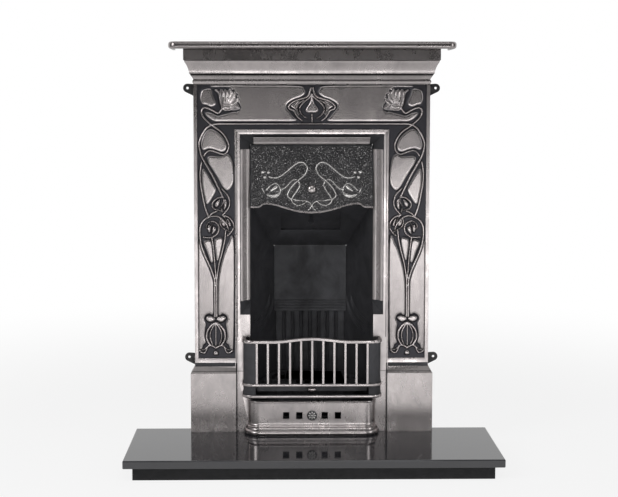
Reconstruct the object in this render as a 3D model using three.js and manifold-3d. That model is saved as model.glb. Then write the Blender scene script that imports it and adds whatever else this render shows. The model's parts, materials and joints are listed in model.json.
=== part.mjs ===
// A cast iron combination fireplace: mantel shelf, surround, fireback, canopy, front bars, bottom grate
// and ash-pan cover, standing on a polished stone hearth.
// Millimetres, +Z up, +X to the viewer's right, -Y towards the room.
// Inside the groups Y = 0 is the wall that the surround is fixed to; the hearth group starts at the
// floor, and the ironwork group at the top of the hearth slab.
import * as THREE from "three";
import { mergeVertices } from "three/addons/utils/BufferGeometryUtils.js";
import Module from "manifold-3d";

const wasm = await Module();
wasm.setup();

// ---------------------------------------------------------------- driving dimensions
const GAP = 0.3; // working clearance between pieces that touch or slide
const HEARTH = {
  width: 1219, depth: 381, slab: 27, riser: 44, sideSetBack: 28, frontSetBack: 26, skin: 20, arris: 2,
};
const HEARTH_TOP = HEARTH.riser + HEARTH.slab;

const JAMB = { half: 401, front: -40, wall: 7, top: 1211 };
const PANEL = { inner: 262.5, outer: 389.5, bottom: 256, top: 1193, depth: 6 }; // sunk field of the relief
const FRIEZE_FOOT = 1042; // lower edge of the sunk frieze, above the inner frame
const FOOT = { inner: 256, outer: 415.5, front: -52, top: 205, shoulder: 227 };
const FRAME = { outer: 260.5, inner: 246, top: 1027.5, front: -44, lip: 14.5 }; // frame round the opening
const MOUTH = { half: 211, top: 991, revealFoot: 407, revealFootBack: 447, back: -5 };

const SHELF = {
  half: 477.5, front: -140, top: 1334, plate: 9, rim: 24, rimThick: 14, corner: 22, screwY: -45,
};
const SHELF_SEAT = SHELF.top - SHELF.plate;
// Cornice: how far each level stands out from the jamb, with its height above the hearth.
const CORNICE = [
  [0, 1196], [2, 1199], [3, 1203], [2, 1207], [0, 1209], [0, 1212],
  [11, 1229], [13, 1231], [13, 1235], [15, 1243], [18, 1252], [23, 1262], [27, 1268],
  [28, 1273], [31, 1275], [31, SHELF_SEAT],
];

const PLATE = 8; // thickness of the fireback castings
const FIREBACK = { depth: 185, backHalf: 130, lowerFace: 198, back: 216, ledge: 381, insertTop: 404 };
const THROAT = { backZ: 620, frontZ: 794, flueHalf: 105, flueFrom: 90, flueTo: 190 };
const REED = { pitch: 31.7, groove: 11, depth: 7, count: 7, top: 384 };

const CANOPY = { half: 209, top: 986, foot: 771, thick: 5, tilt: 5, knobRadius: 14, knobZ: 836 };
const HANGER = {
  half: 209, thick: 4, plate: 11.5, seat: 1004, top: 1036, screwZ: 1020, legOuter: 240, legFoot: 797,
};
const HANGER_SCREWS = [-150, 150];
const CANOPY_ROD = { y: 4, z: 979, radius: 3, half: 178, reach: 10, ears: 140, hooks: 164 };

const BARS = { half: 238, front: -115, corner: 38, thick: 12, top: 320, hump: 10.5, humpHalf: 135 };
const RAIL = { height: 11, low: 133, mid: 172 };
const BAR = { count: 11, pitch: 37.5, width: 6.5 };
const TONGUE = { inner: 189, outer: 200, back: 22 };

const GRATE = { bottom: 151, thick: 14, frontHalf: 187, front: -84, backHalf: 128, back: 172, bars: 11 };
const COVER = {
  half: 218, front: -93, corner: 42, thick: 6, height: 120, flare: 14,
  vent: 21.6, ventHeight: 23.6, ventZ: 68.6,
};
const VENT_X = [-88.4, -43.3, 43.3, 88.4];
const VENT_TRAVEL = 14;
const SHUTTER = { half: 112, height: 38, thick: 2 };
const KNOB = { radius: 17.5, petals: 8 };
const ASH_PAN = { frontHalf: 148, backHalf: 126, front: -58, back: 150, height: 58, sheet: 2 };
const SCREW = { shank: 3, hole: 3.4, sides: 12 };
const LUG = {
  x: 422.5, screwX: 372, topZ: 1182, bottomZ: 255, eye: 15, hole: 4.5, thick: 6, back: -6,
  tail: 14, halfTail: 12, webUp: 13.5, webDown: 27,
};
const SHELF_SCREWS = [-330, -110, 110, 330];
const FLANGE_SCREWS = [[-236, 120], [-236, 700], [236, 120], [236, 700]];

const lugLevels = [LUG.topZ, LUG.bottomZ];
const lugPlaces = ["top", "bottom"].flatMap((level, i) => [
  { name: `${level}_left`, side: -1, z: lugLevels[i] },
  { name: `${level}_right`, side: 1, z: lugLevels[i] },
]);

// ---------------------------------------------------------------- materials
function finish(color, roughness, metalness) {
  return () => new THREE.MeshStandardMaterial({ color, roughness, metalness });
}
const polishedIron = finish(0x8c8583, 0.3, 1);
const blackIron = finish(0x2b2b2e, 0.65, 0.4);
const granite = finish(0x3a3a3e, 0.12, 0);
const mortar = finish(0x8f8b84, 0.95, 0);
const sheetSteel = finish(0x36373a, 0.5, 0.8);

// ---------------------------------------------------------------- solids
// A closed three.js geometry as a solid that can be joined and cut.
function solid(geometry) {
  const loose = geometry.index ? geometry.toNonIndexed() : geometry.clone();
  loose.deleteAttribute("normal");
  loose.deleteAttribute("uv");
  const merged = mergeVertices(loose, 1e-4);
  return new wasm.Manifold(
    new wasm.Mesh({
      numProp: 3,
      vertProperties: merged.attributes.position.array,
      triVerts: new Uint32Array(merged.index.array),
    }),
  );
}

function geometryOf(body) {
  const { numProp, numVert, vertProperties, triVerts } = body.getMesh();
  const corners = new Float32Array(numVert * 3);
  for (let i = 0; i < numVert; i++) corners.set(vertProperties.subarray(i * numProp, i * numProp + 3), i * 3);
  const geometry = new THREE.BufferGeometry();
  geometry.setAttribute("position", new THREE.BufferAttribute(corners, 3));
  geometry.setIndex(new THREE.BufferAttribute(triVerts, 1));
  geometry.computeVertexNormals();
  return geometry;
}

function part(name, body, material, place = [0, 0, 0]) {
  const mesh = new THREE.Mesh(geometryOf(body), material());
  mesh.name = name;
  mesh.position.set(...place);
  return mesh;
}

const joined = (bodies) => bodies.reduce((whole, body) => whole.add(body));
const cut = (body, tools) => tools.reduce((left, tool) => left.subtract(tool), body);

function block(x0, x1, y0, y1, z0, z1) {
  const box = new THREE.BoxGeometry(x1 - x0, y1 - y0, z1 - z0);
  return solid(box.translate((x0 + x1) / 2, (y0 + y1) / 2, (z0 + z1) / 2));
}

// The same block on the left and on the right of the middle.
const pair = (x0, x1, ...rest) => block(x0, x1, ...rest).add(block(-x1, -x0, ...rest));

function outline(points) {
  return new THREE.Shape(points.map(([x, y]) => new THREE.Vector2(x, y)));
}

// A plan outline (x, y) carried up from z0 to z1.
function upright(points, z0, z1) {
  const shape = Array.isArray(points) ? outline(points) : points;
  const depth = z1 - z0;
  return solid(new THREE.ExtrudeGeometry(shape, { depth, bevelEnabled: false }).translate(0, 0, z0));
}

// A front outline (x, z) carried back from y0 to y1.
function facing(shape, y0, y1) {
  const depth = y1 - y0;
  const geometry = new THREE.ExtrudeGeometry(shape, { depth, bevelEnabled: false, curveSegments: 10 });
  return solid(geometry.rotateX(Math.PI / 2).translate(0, y1, 0));
}

// A side outline (y, z) carried across from x0 to x1.
function sideways(shape, x0, x1) {
  const depth = x1 - x0;
  const geometry = new THREE.ExtrudeGeometry(shape, { depth, bevelEnabled: false, curveSegments: 8 });
  return solid(geometry.rotateX(Math.PI / 2).rotateZ(Math.PI / 2).translate(x0, 0, 0));
}

// A cylinder along Y, from y0 to y1.
function bolt(radius, x, y0, y1, z, sides = 16) {
  return solid(new THREE.CylinderGeometry(radius, radius, y1 - y0, sides).translate(x, (y0 + y1) / 2, z));
}

// Rectangles [x0, x1, y0, y1, z] stacked upwards and skinned: a moulding that turns mitred corners.
function moulded(levels) {
  const corners = [];
  for (const [x0, x1, y0, y1, z] of levels) corners.push(x0, y0, z, x1, y0, z, x1, y1, z, x0, y1, z);
  const faces = [0, 2, 1, 0, 3, 2];
  for (let level = 0; level + 1 < levels.length; level++) {
    for (let side = 0; side < 4; side++) {
      const a = level * 4 + side;
      const b = level * 4 + ((side + 1) % 4);
      faces.push(a, b, b + 4, a, b + 4, a + 4);
    }
  }
  const last = (levels.length - 1) * 4;
  faces.push(last, last + 1, last + 2, last, last + 2, last + 3);
  const geometry = new THREE.BufferGeometry();
  geometry.setAttribute("position", new THREE.Float32BufferAttribute(corners, 3));
  geometry.setIndex(faces);
  return solid(geometry);
}

// A U in plan, open to the wall: straight returns, round corners and a straight front.
function bow(half, front, back, corner, thick) {
  const shape = new THREE.Shape();
  shape.moveTo(-half, back);
  shape.lineTo(-half, front + corner);
  shape.absarc(-half + corner, front + corner, corner, Math.PI, 1.5 * Math.PI, false);
  shape.lineTo(half - corner, front);
  shape.absarc(half - corner, front + corner, corner, 1.5 * Math.PI, 2 * Math.PI, false);
  shape.lineTo(half, back);
  shape.lineTo(half - thick, back);
  shape.lineTo(half - thick, front + corner);
  shape.absarc(half - corner, front + corner, corner - thick, 0, -0.5 * Math.PI, true);
  shape.lineTo(-half + corner, front + thick);
  shape.absarc(-half + corner, front + corner, corner - thick, 1.5 * Math.PI, Math.PI, true);
  shape.lineTo(-half + thick, back);
  shape.closePath();
  return shape;
}

// That U as a band from z0 to z1, its long edges rounded by the radius given.
function band(half, front, back, corner, thick, z0, z1, round = 0) {
  const shape = bow(half - round, front + round, back, corner - round, thick - 2 * round);
  const geometry = new THREE.ExtrudeGeometry(shape, {
    depth: z1 - z0 - 2 * round,
    bevelEnabled: round > 0,
    bevelThickness: round,
    bevelSize: round,
    bevelSegments: 2,
    curveSegments: 5,
  });
  const band = solid(geometry.translate(0, 0, z0 + round));
  return band.intersect(block(-half - 1, half + 1, front - 1, back, z0 - 1, z1 + 1));
}

// ---------------------------------------------------------------- hearth
function hearth() {
  const { width, depth, slab, riser, sideSetBack, frontSetBack, skin, arris } = HEARTH;
  const half = width / 2;
  const plinthHalf = half - sideSetBack;
  const plinthFront = -depth + frontSetBack;
  const top = moulded([
    [-half + arris, half - arris, -depth + arris, 0, 0],
    [-half, half, -depth, 0, arris],
    [-half, half, -depth, 0, slab - arris],
    [-half + arris, half - arris, -depth + arris, 0, slab],
  ]);
  const front = block(-plinthHalf, plinthHalf, plinthFront, plinthFront + skin, 0, riser);
  const side = block(0, skin, plinthFront + skin, 0, 0, riser);
  const bed = block(-plinthHalf + skin, plinthHalf - skin, plinthFront + skin, 0, 0, riser);
  const group = new THREE.Group();
  group.add(
    part("hearth_slab", top, granite, [0, 0, riser]),
    part("hearth_front_riser", front, granite),
    part("hearth_left_riser", side, granite, [-plinthHalf, 0, 0]),
    part("hearth_right_riser", side, granite, [plinthHalf - skin, 0, 0]),
    part("hearth_mortar_bed", bed, mortar),
  );
  return group;
}

// ---------------------------------------------------------------- surround
function corniceLevels(inset) {
  return CORNICE.map(([out, z]) => {
    const half = JAMB.half + out - inset;
    return [-half, half, JAMB.front - out + inset, inset ? 1 : 0, z];
  });
}

function footBlock() {
  const { inner, outer, front, top, shoulder } = FOOT;
  const shell = moulded([
    [inner, outer, front, 0, 0],
    [inner, outer, front, 0, top],
    [inner + 1, JAMB.half + 2, JAMB.front - 2, 0, shoulder],
  ]);
  const hollow = block(inner + 8, outer - 8, front + 8, 1, -1, top - 8);
  return shell.subtract(hollow);
}

// The tapered reveal between the raised frame and the fire opening.
function reveal() {
  const geometry = new THREE.BufferGeometry();
  const { half, top, back, revealFoot, revealFootBack } = MOUTH;
  const front = FRAME.front - 1;
  geometry.setAttribute(
    "position",
    new THREE.Float32BufferAttribute(
      [
        [-FRAME.inner, front, revealFoot], [FRAME.inner, front, revealFoot],
        [FRAME.inner, front, FRAME.top], [-FRAME.inner, front, FRAME.top],
        [-half, back, revealFootBack], [half, back, revealFootBack],
        [half, back, top], [-half, back, top],
      ].flat(),
      3,
    ),
  );
  geometry.setIndex([
    [0, 1, 2], [0, 2, 3], [4, 6, 5], [4, 7, 6], [0, 4, 5], [0, 5, 1],
    [1, 5, 6], [1, 6, 2], [2, 6, 7], [2, 7, 3], [3, 7, 4], [3, 4, 0],
  ].flat());
  return solid(geometry);
}

function surroundCasting() {
  const { half, front, wall, top } = JAMB;
  const slab = block(-half, half, front, 0, FOOT.shoulder - 1, top);
  const cornice = moulded(corniceLevels(0));
  const frame = block(-FRAME.outer, FRAME.outer, FRAME.front, 0, 0, FRAME.top + FRAME.lip);
  const foot = footBlock();
  const feet = foot.add(foot.mirror([1, 0, 0]));
  const jambHollow = [FRAME.outer + 1, half - wall, front + PANEL.depth + wall, 1];
  const sunkPanels = [
    pair(PANEL.inner, PANEL.outer, front - 1, front + PANEL.depth, PANEL.bottom, PANEL.top),
    block(-PANEL.outer, PANEL.outer, front - 1, front + PANEL.depth, FRIEZE_FOOT, PANEL.top),
  ];
  const hollows = [
    pair(...jambHollow, PANEL.bottom - 8, PANEL.top + 8),
    block(-FRAME.outer - 2, FRAME.outer + 2, ...jambHollow.slice(2), FRIEZE_FOOT + 8, PANEL.top + 8),
    pair(MOUTH.half + wall, FRAME.outer - 4, front + 4, 1, 8, 100),
    pair(MOUTH.half + wall, FRAME.outer - 4, front + 4, 1, 140, MOUTH.revealFoot - 10),
    moulded(corniceLevels(wall).slice(5, -1).concat([[-half - 20, half + 20, -60, 1, SHELF_SEAT - 8]])),
  ];
  const opening = [
    reveal(),
    block(-MOUTH.half, MOUTH.half, FRAME.front - 1, 1, -1, MOUTH.revealFootBack + 2),
    block(-MOUTH.half, MOUTH.half, MOUTH.back - 1, 1, MOUTH.revealFoot, MOUTH.top),
  ];
  const whole = cut(joined([slab, cornice, frame, feet]), [...sunkPanels, ...hollows, ...opening]);
  const lugSeatY = LUG.back - LUG.thick - GAP;
  const lugSeats = lugLevels.map((z) => pair(LUG.screwX - 20, half - 1, front + 8, lugSeatY, z - 16, z + 16));
  const lugNotches = lugLevels.map((z) => pair(LUG.screwX - 22, half + 1, lugSeatY, 1, z - 13, z + 13));
  const lugHoles = lugPlaces.map(({ side, z }) => screwHole(side * LUG.screwX, front + 12, z));
  const hangerPlaces = HANGER_SCREWS.map((x) => [x, HANGER.screwZ]);
  const backHoles = [...FLANGE_SCREWS, ...hangerPlaces].map(([x, z]) => screwHole(x, -14, z));
  const shelfHoles = SHELF_SCREWS.map((x) => shelfHole(x, SHELF_SEAT - 10, SHELF_SEAT + 1));
  return cut(joined([whole, ...lugSeats]), [...lugNotches, ...lugHoles, ...backHoles, ...shelfHoles]);
}

// ---------------------------------------------------------------- mantel shelf
function shelfOutline(inset) {
  const half = SHELF.half - inset;
  const front = SHELF.front + inset;
  const corner = SHELF.corner - inset * 0.5;
  const shape = new THREE.Shape();
  shape.moveTo(-half, 0);
  shape.lineTo(-half, front + corner);
  shape.absarc(-half + corner, front + corner, corner, Math.PI, 1.5 * Math.PI, false);
  shape.absarc(half - corner, front + corner, corner, 1.5 * Math.PI, 2 * Math.PI, false);
  shape.lineTo(half, 0);
  shape.closePath();
  return shape;
}

function mantelShelf() {
  const { top, rim, rimThick, plate, half } = SHELF;
  const round = 9;
  const nosed = solid(
    new THREE.ExtrudeGeometry(shelfOutline(round), {
      depth: rim - 2 * round,
      bevelEnabled: true,
      bevelThickness: round,
      bevelSize: round,
      bevelSegments: 5,
      curveSegments: 5,
    }).translate(0, 0, top - rim + round),
  ).intersect(block(-half - 1, half + 1, SHELF.front - 1, 0, top - rim - 1, top + 1));
  const hollow = upright(shelfOutline(rimThick), top - rim - 1, top - plate);
  return cut(nosed, [hollow, ...SHELF_SCREWS.map((x) => shelfHole(x, top - plate - 1, top - plate + 6))]);
}

function shelfHole(x, z0, z1) {
  const hole = new THREE.CylinderGeometry(SCREW.hole, SCREW.hole, z1 - z0, SCREW.sides);
  return solid(hole.rotateX(Math.PI / 2).translate(x, SHELF.screwY, (z0 + z1) / 2));
}

const screwHole = (x, depth, z) => bolt(SCREW.hole, x, depth, 12, z, SCREW.sides);

// A hexagon-headed screw standing along +Z, its head below.
function screw(headRadius, headHeight, length) {
  const head = new THREE.CylinderGeometry(headRadius, headRadius, headHeight, 6);
  const shank = new THREE.CylinderGeometry(SCREW.shank, SCREW.shank, length + 1, SCREW.sides);
  return joined([
    solid(head.rotateX(Math.PI / 2).translate(0, 0, -headHeight / 2)),
    solid(shank.rotateX(Math.PI / 2).translate(0, 0, (length - 1) / 2)),
  ]);
}

// The same screw driven from behind, so that its point looks towards the room.
function screwAt(name, x, y, z, sizes) {
  const mesh = part(name, screw(...sizes), blackIron, [x, y, z]);
  mesh.rotation.x = Math.PI / 2;
  return mesh;
}

// ---------------------------------------------------------------- fixing lugs
// An ear that reaches out of the side of the casting, with an eye for the wall screw. Outside, a web widens
// from the eye down to the casting.
function lug() {
  const { eye, tail, halfTail, webUp, webDown } = LUG;
  const shape = new THREE.Shape();
  const eyeX = LUG.x - LUG.screwX;
  const root = JAMB.half + GAP - LUG.screwX;
  const tangent = Math.atan2(-webDown, root - eyeX) + Math.acos(eye / Math.hypot(root - eyeX, webDown));
  shape.moveTo(-tail, -halfTail);
  shape.lineTo(root, -halfTail);
  shape.lineTo(root, -webDown);
  shape.absarc(eyeX, 0, eye, tangent, Math.PI / 2, false);
  shape.lineTo(root, webUp);
  shape.lineTo(root, halfTail);
  shape.lineTo(-tail, halfTail);
  shape.closePath();
  const ear = facing(shape, -LUG.thick, 0);
  return cut(ear, [bolt(LUG.hole, eyeX, -LUG.thick - 1, 1, 0), screwHole(0, -LUG.thick - 1, 0)]);
}

function lugs() {
  return lugPlaces.flatMap(({ name, side, z }) => {
    const body = side > 0 ? lug() : lug().mirror([1, 0, 0]);
    return [
      part(`fixing_lug_${name}`, body, blackIron, [side * LUG.screwX, LUG.back, z]),
      screwAt(`lug_screw_${name}`, side * LUG.screwX, LUG.back, z, [7, 4.5, 18]),
    ];
  });
}

// ---------------------------------------------------------------- fireback
const cheekX = (y) => MOUTH.half - ((MOUTH.half - FIREBACK.backHalf) / FIREBACK.depth) * y;
const CHEEK_ACROSS = 8.74; // the cheek's thickness measured straight across

// Everything above the sloping underside of the throat plate, to cut the cheeks by.
function aboveThroat(lift) {
  const { backZ, frontZ } = THROAT;
  const slope = (frontZ - backZ) / FIREBACK.depth;
  const far = 260;
  const shape = outline([
    [-30, frontZ + slope * 30 + lift], [far, frontZ - slope * far + lift], [far, 1400], [-30, 1400],
  ]);
  return sideways(shape, -400, 400);
}

function cheek() {
  const run = (y0, y1, z1) => {
    const inner = [cheekX(y0), y0];
    const far = [cheekX(y1), y1];
    return upright([inner, [inner[0] + CHEEK_ACROSS, y0], [far[0] + CHEEK_ACROSS, y1], far], 0, z1);
  };
  const flange = block(MOUTH.half, 250, GAP, 7, 0, 780);
  const whole = joined([run(GAP, 193, 820), run(192, FIREBACK.back, FIREBACK.insertTop), flange]);
  const holes = FLANGE_SCREWS.filter(([x]) => x > 0).map(([x, z]) => screwHole(x, -1, z));
  return cut(whole, [aboveThroat(-GAP), ...holes]);
}

function backPlate(y0, y1, z0, z1) {
  const near = cheekX(y0) - GAP;
  const far = cheekX(y1) - GAP;
  return upright([[-near, y0], [near, y0], [far, y1], [-far, y1]], z0, z1);
}

function reededBack() {
  const { lowerFace, back, insertTop } = FIREBACK;
  const grooves = Array.from({ length: REED.count }, (_, i) => {
    const x = (i - (REED.count - 1) / 2) * REED.pitch;
    const halfGroove = REED.groove / 2;
    return block(x - halfGroove, x + halfGroove, lowerFace - 1, lowerFace + REED.depth, -1, REED.top);
  });
  return cut(backPlate(lowerFace, back, 0, insertTop), grooves);
}

// The throat group lies on the slope: its local +Y runs up the slope to the front, +Z out of its top.
const SLOPE = Math.atan2(THROAT.frontZ - THROAT.backZ, FIREBACK.depth);
const SLOPE_LENGTH = Math.hypot(THROAT.frontZ - THROAT.backZ, FIREBACK.depth);
const HINGE = { y: 78, z: PLATE + 8, radius: 3, ear: 116 };

function throatPlate() {
  const length = SLOPE_LENGTH - 4;
  const backHalf = FIREBACK.backHalf + CHEEK_ACROSS;
  const frontHalf = MOUTH.half + CHEEK_ACROSS - 2;
  const plate = upright([[-backHalf, 0], [backHalf, 0], [frontHalf, length], [-frontHalf, length]], 0, PLATE);
  const flue = block(-THROAT.flueHalf, THROAT.flueHalf, THROAT.flueFrom, THROAT.flueTo, -1, PLATE + 1);
  const ear = (x) => block(x, x + 6, HINGE.y - 8, HINGE.y + 8, PLATE - 1, HINGE.z + 8);
  const hole = solid(
    new THREE.CylinderGeometry(HINGE.radius + GAP, HINGE.radius + GAP, 260, 16)
      .rotateZ(Math.PI / 2)
      .translate(0, HINGE.y, HINGE.z),
  );
  return cut(joined([plate, ear(HINGE.ear), ear(-HINGE.ear - 6)]), [flue, hole]);
}

function damperFlap() {
  const lift = PLATE + GAP;
  const plate = block(-112, 112, HINGE.y + 5, THROAT.flueTo + 7, lift, lift + 4);
  const knuckle = (x) =>
    joined([
      solid(
        new THREE.CylinderGeometry(6, 6, 30, 20).rotateZ(Math.PI / 2).translate(x, HINGE.y, HINGE.z),
      ),
      block(x - 15, x + 15, HINGE.y, HINGE.y + 12, HINGE.z - 5.4, HINGE.z),
      block(x - 15, x + 15, HINGE.y + 6, HINGE.y + 12, lift + 1, HINGE.z),
    ]);
  const bore = solid(
    new THREE.CylinderGeometry(HINGE.radius + GAP, HINGE.radius + GAP, 260, 16)
      .rotateZ(Math.PI / 2)
      .translate(0, HINGE.y, HINGE.z),
  );
  const stiffener = block(-100, 100, 134, 139, lift + 3, lift + 9);
  return cut(joined([plate, knuckle(85), knuckle(-85), stiffener]), [bore]);
}

function rod(radius, half, y, z) {
  const geometry = new THREE.CylinderGeometry(radius, radius, half * 2, 16);
  return solid(geometry.rotateZ(Math.PI / 2).translate(0, y, z));
}

// The pull under the flap that a poker reaches: a flat stem with a round end.
function damperPull() {
  const stem = block(-5, 5, 168, 172, -20, PLATE);
  const end = solid(new THREE.CylinderGeometry(10, 10, 5, 20).translate(0, 170, -24));
  return joined([stem, end]);
}

function throat() {
  const group = new THREE.Group();
  group.position.set(0, FIREBACK.depth, THROAT.backZ);
  group.rotation.set(SLOPE, 0, Math.PI, "ZYX");
  group.add(
    part("throat_plate", throatPlate(), blackIron),
    part("damper_flap", damperFlap(), blackIron),
    part("damper_hinge_pin", rod(HINGE.radius, HINGE.ear + 10, HINGE.y, HINGE.z), blackIron),
    part("damper_pull", damperPull(), blackIron),
  );
  return group;
}

// ---------------------------------------------------------------- canopy
// The lower edge of the canopy: a short flat, a rounded shoulder, then one long dip to the middle.
function canopyEdge(shape, half, drop) {
  const foot = CANOPY.foot - drop;
  const crest = foot + 13;
  const dip = foot - 18;
  shape.lineTo(half, foot);
  shape.lineTo(half - 26, foot + 1);
  shape.bezierCurveTo(half - 38, foot + 2, half - 36, crest, half - 54, crest);
  shape.bezierCurveTo(half - 100, crest - 2, 70, dip, 0, dip);
  shape.bezierCurveTo(-70, dip, -half + 100, crest - 2, -half + 54, crest);
  shape.bezierCurveTo(-half + 36, crest, -half + 38, foot + 2, -half + 26, foot + 1);
  shape.lineTo(-half, foot);
}

function canopyOutline(low, drop = 0) {
  const shape = new THREE.Shape();
  shape.moveTo(-CANOPY.half, low);
  shape.lineTo(CANOPY.half, low);
  canopyEdge(shape, CANOPY.half, drop);
  shape.closePath();
  return shape;
}

// Built upright with its back on y = 0 at the height it hangs, then leant by the group that carries it.
// Its ears reach back to the pivot rod.
function canopyPlate() {
  const { z: rodZ, radius, reach, ears } = CANOPY_ROD;
  const { half } = CANOPY;
  const plate = facing(canopyOutline(CANOPY.top), -CANOPY.thick, 0);
  const lip = facing(canopyOutline(800), -CANOPY.thick - 5, -1).subtract(
    facing(canopyOutline(1100, -6), -CANOPY.thick - 6, -CANOPY.thick),
  );
  const ear = (x) =>
    joined([
      sideways(outline([[-2, rodZ - 9], [reach, rodZ - 6], [reach, rodZ + 6], [-2, rodZ + 6]]), x, x + 6),
      rod(6.5, 3, reach, rodZ).translate([x + 3, 0, 0]),
    ]);
  // Side returns fill the wedge between the leaning plate and the wall plane.
  const drop = rodZ - CANOPY.foot - 2;
  const wedge = reach - 5 + drop * Math.tan(THREE.MathUtils.degToRad(CANOPY.tilt));
  const side = outline([
    [-2, CANOPY.foot + 2], [wedge, CANOPY.foot + 2], [reach - 5, rodZ],
    [reach - 5, CANOPY.top - 1], [-2, CANOPY.top - 1],
  ]);
  const returns = [half - 4, -half].map((x) => sideways(side, x, x + 4));
  const knobHole = screwHole(0, -20, CANOPY.knobZ);
  const bore = rod(radius + GAP, CANOPY_ROD.half + 4, reach, rodZ);
  return cut(joined([plate, lip, ear(ears), ear(-ears - 6), ...returns]), [knobHole, bore]);
}

// A round knob that stands out towards the room from y = 0.
function domedKnob(radius, height, base) {
  const arc = Array.from({ length: 7 }, (_, i) => {
    const turn = (i / 6) * (Math.PI / 2);
    return new THREE.Vector2(radius * Math.cos(turn), base + height * Math.sin(turn));
  });
  arc[6].x = 0;
  const foot = [[0, 0], [radius * 0.8, 0], [radius * 0.8, base]].map((p) => new THREE.Vector2(...p));
  const profile = [...foot, ...arc];
  return solid(new THREE.LatheGeometry(profile, 18).rotateX(Math.PI));
}

function canopy() {
  const hang = new THREE.Group();
  hang.position.set(0, CANOPY_ROD.y, CANOPY_ROD.z);
  hang.rotation.x = THREE.MathUtils.degToRad(-CANOPY.tilt);
  const rear = -CANOPY_ROD.reach;
  const knobZ = CANOPY.knobZ - CANOPY_ROD.z;
  const knobBody = domedKnob(CANOPY.knobRadius, 8, 3);
  const plate = part("canopy", canopyPlate(), blackIron, [0, rear, -CANOPY_ROD.z]);
  const knob = part("canopy_knob", knobBody, polishedIron, [0, rear - CANOPY.thick - GAP, knobZ]);
  const knobScrew = screwAt("canopy_knob_screw", 0, rear + GAP, knobZ, [6, 4, CANOPY.thick]);
  const pivot = part("canopy_pivot_rod", rod(CANOPY_ROD.radius, CANOPY_ROD.half, 0, 0), blackIron);
  hang.add(plate, knob, knobScrew, pivot);
  return hang;
}

// The plate behind the opening that closes the gap over the canopy, with two hooks for its pivot rod. A flat
// leg down each side stands on the cheek's flange, clear of the canopy's swing, and closes the gap beside it.
function canopyHanger() {
  const { y, z, radius, hooks } = CANOPY_ROD;
  const { half, thick, seat, top, plate, legOuter, legFoot } = HANGER;
  const floor = z - radius - GAP;
  const near = y - radius - GAP;
  const far = y + radius + GAP;
  const profile = outline([
    [GAP, top], [GAP, seat], [plate, seat], [plate, floor - 6], [plate + thick, floor - 6],
    [plate + thick, seat + thick], [thick + GAP, seat + thick], [thick + GAP, top],
  ]);
  const hook = outline([
    [plate + 1, floor - 6], [near - 4, floor - 6], [near - 4, z], [near, z],
    [near, floor], [far, floor], [far, z + 8], [plate + 1, z + 8],
  ]);
  const holes = HANGER_SCREWS.map((x) => bolt(SCREW.hole, x, -1, 8, HANGER.screwZ, SCREW.sides));
  return cut(joined([
    sideways(profile, -half, half),
    block(-legOuter, legOuter, GAP, thick + GAP, seat, top),
    pair(half + GAP, legOuter, GAP, thick + GAP, legFoot, top),
    sideways(hook, hooks - 4, hooks + 4),
    sideways(hook, -hooks - 4, -hooks + 4),
  ]), holes);
}

// ---------------------------------------------------------------- front bars
function hump(x) {
  return Math.abs(x) < BARS.humpHalf ? BARS.hump * 0.5 * (1 + Math.cos((Math.PI * x) / BARS.humpHalf)) : 0;
}

// The straight part of the top rail, which swells upwards in the middle.
function humpedRail() {
  const half = BARS.half - BARS.corner + 1;
  const steps = 16;
  const shape = new THREE.Shape();
  shape.moveTo(-half, BARS.top);
  for (let i = 1; i <= steps; i++) {
    const x = -half + (2 * half * i) / steps;
    shape.lineTo(x, BARS.top + hump(x));
  }
  for (let i = steps; i >= 0; i--) {
    const x = -half + (2 * half * i) / steps;
    shape.lineTo(x, BARS.top + RAIL.height + hump(x));
  }
  const geometry = new THREE.ExtrudeGeometry(shape, {
    depth: BARS.thick - 6,
    bevelThickness: 3,
    bevelSize: 2,
    bevelOffset: -2,
    bevelSegments: 1,
  });
  return solid(geometry.rotateX(Math.PI / 2).translate(0, BARS.front + BARS.thick - 3, 0));
}

function frontBars() {
  const { half, front, corner, thick, top } = BARS;
  const back = FRAME.front - GAP;
  const straight = half - corner;
  const rail = (z) => band(half, front, back, corner, thick, z, z + RAIL.height, 3);
  const middle = block(-straight, straight, front - 1, front + thick + 1, top - 1, top + 30);
  const topRail = rail(top).subtract(middle);
  const panel = band(half - 4, front + 4, back, corner - 4, 5, RAIL.low + 3, top + 4).subtract(
    block(-straight + 8, straight - 8, front - 1, front + 20, 0, 400),
  );
  const bars = Array.from({ length: BAR.count }, (_, i) => {
    const x = (i - (BAR.count - 1) / 2) * BAR.pitch;
    const halfBar = BAR.width / 2;
    return block(x - halfBar, x + halfBar, front + 2, front + 11, RAIL.mid + 2, top + 4 + hump(x));
  });
  const tongue = pair(TONGUE.inner, TONGUE.outer, back - 20, TONGUE.back, GRATE.bottom, GRATE.bottom + 12);
  const bridge = pair(TONGUE.inner, half - 6, back - 20, back - 8, GRATE.bottom, GRATE.bottom + 12);
  return joined([topRail, humpedRail(), rail(RAIL.mid), rail(RAIL.low), panel, ...bars, tongue, bridge]);
}

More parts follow.
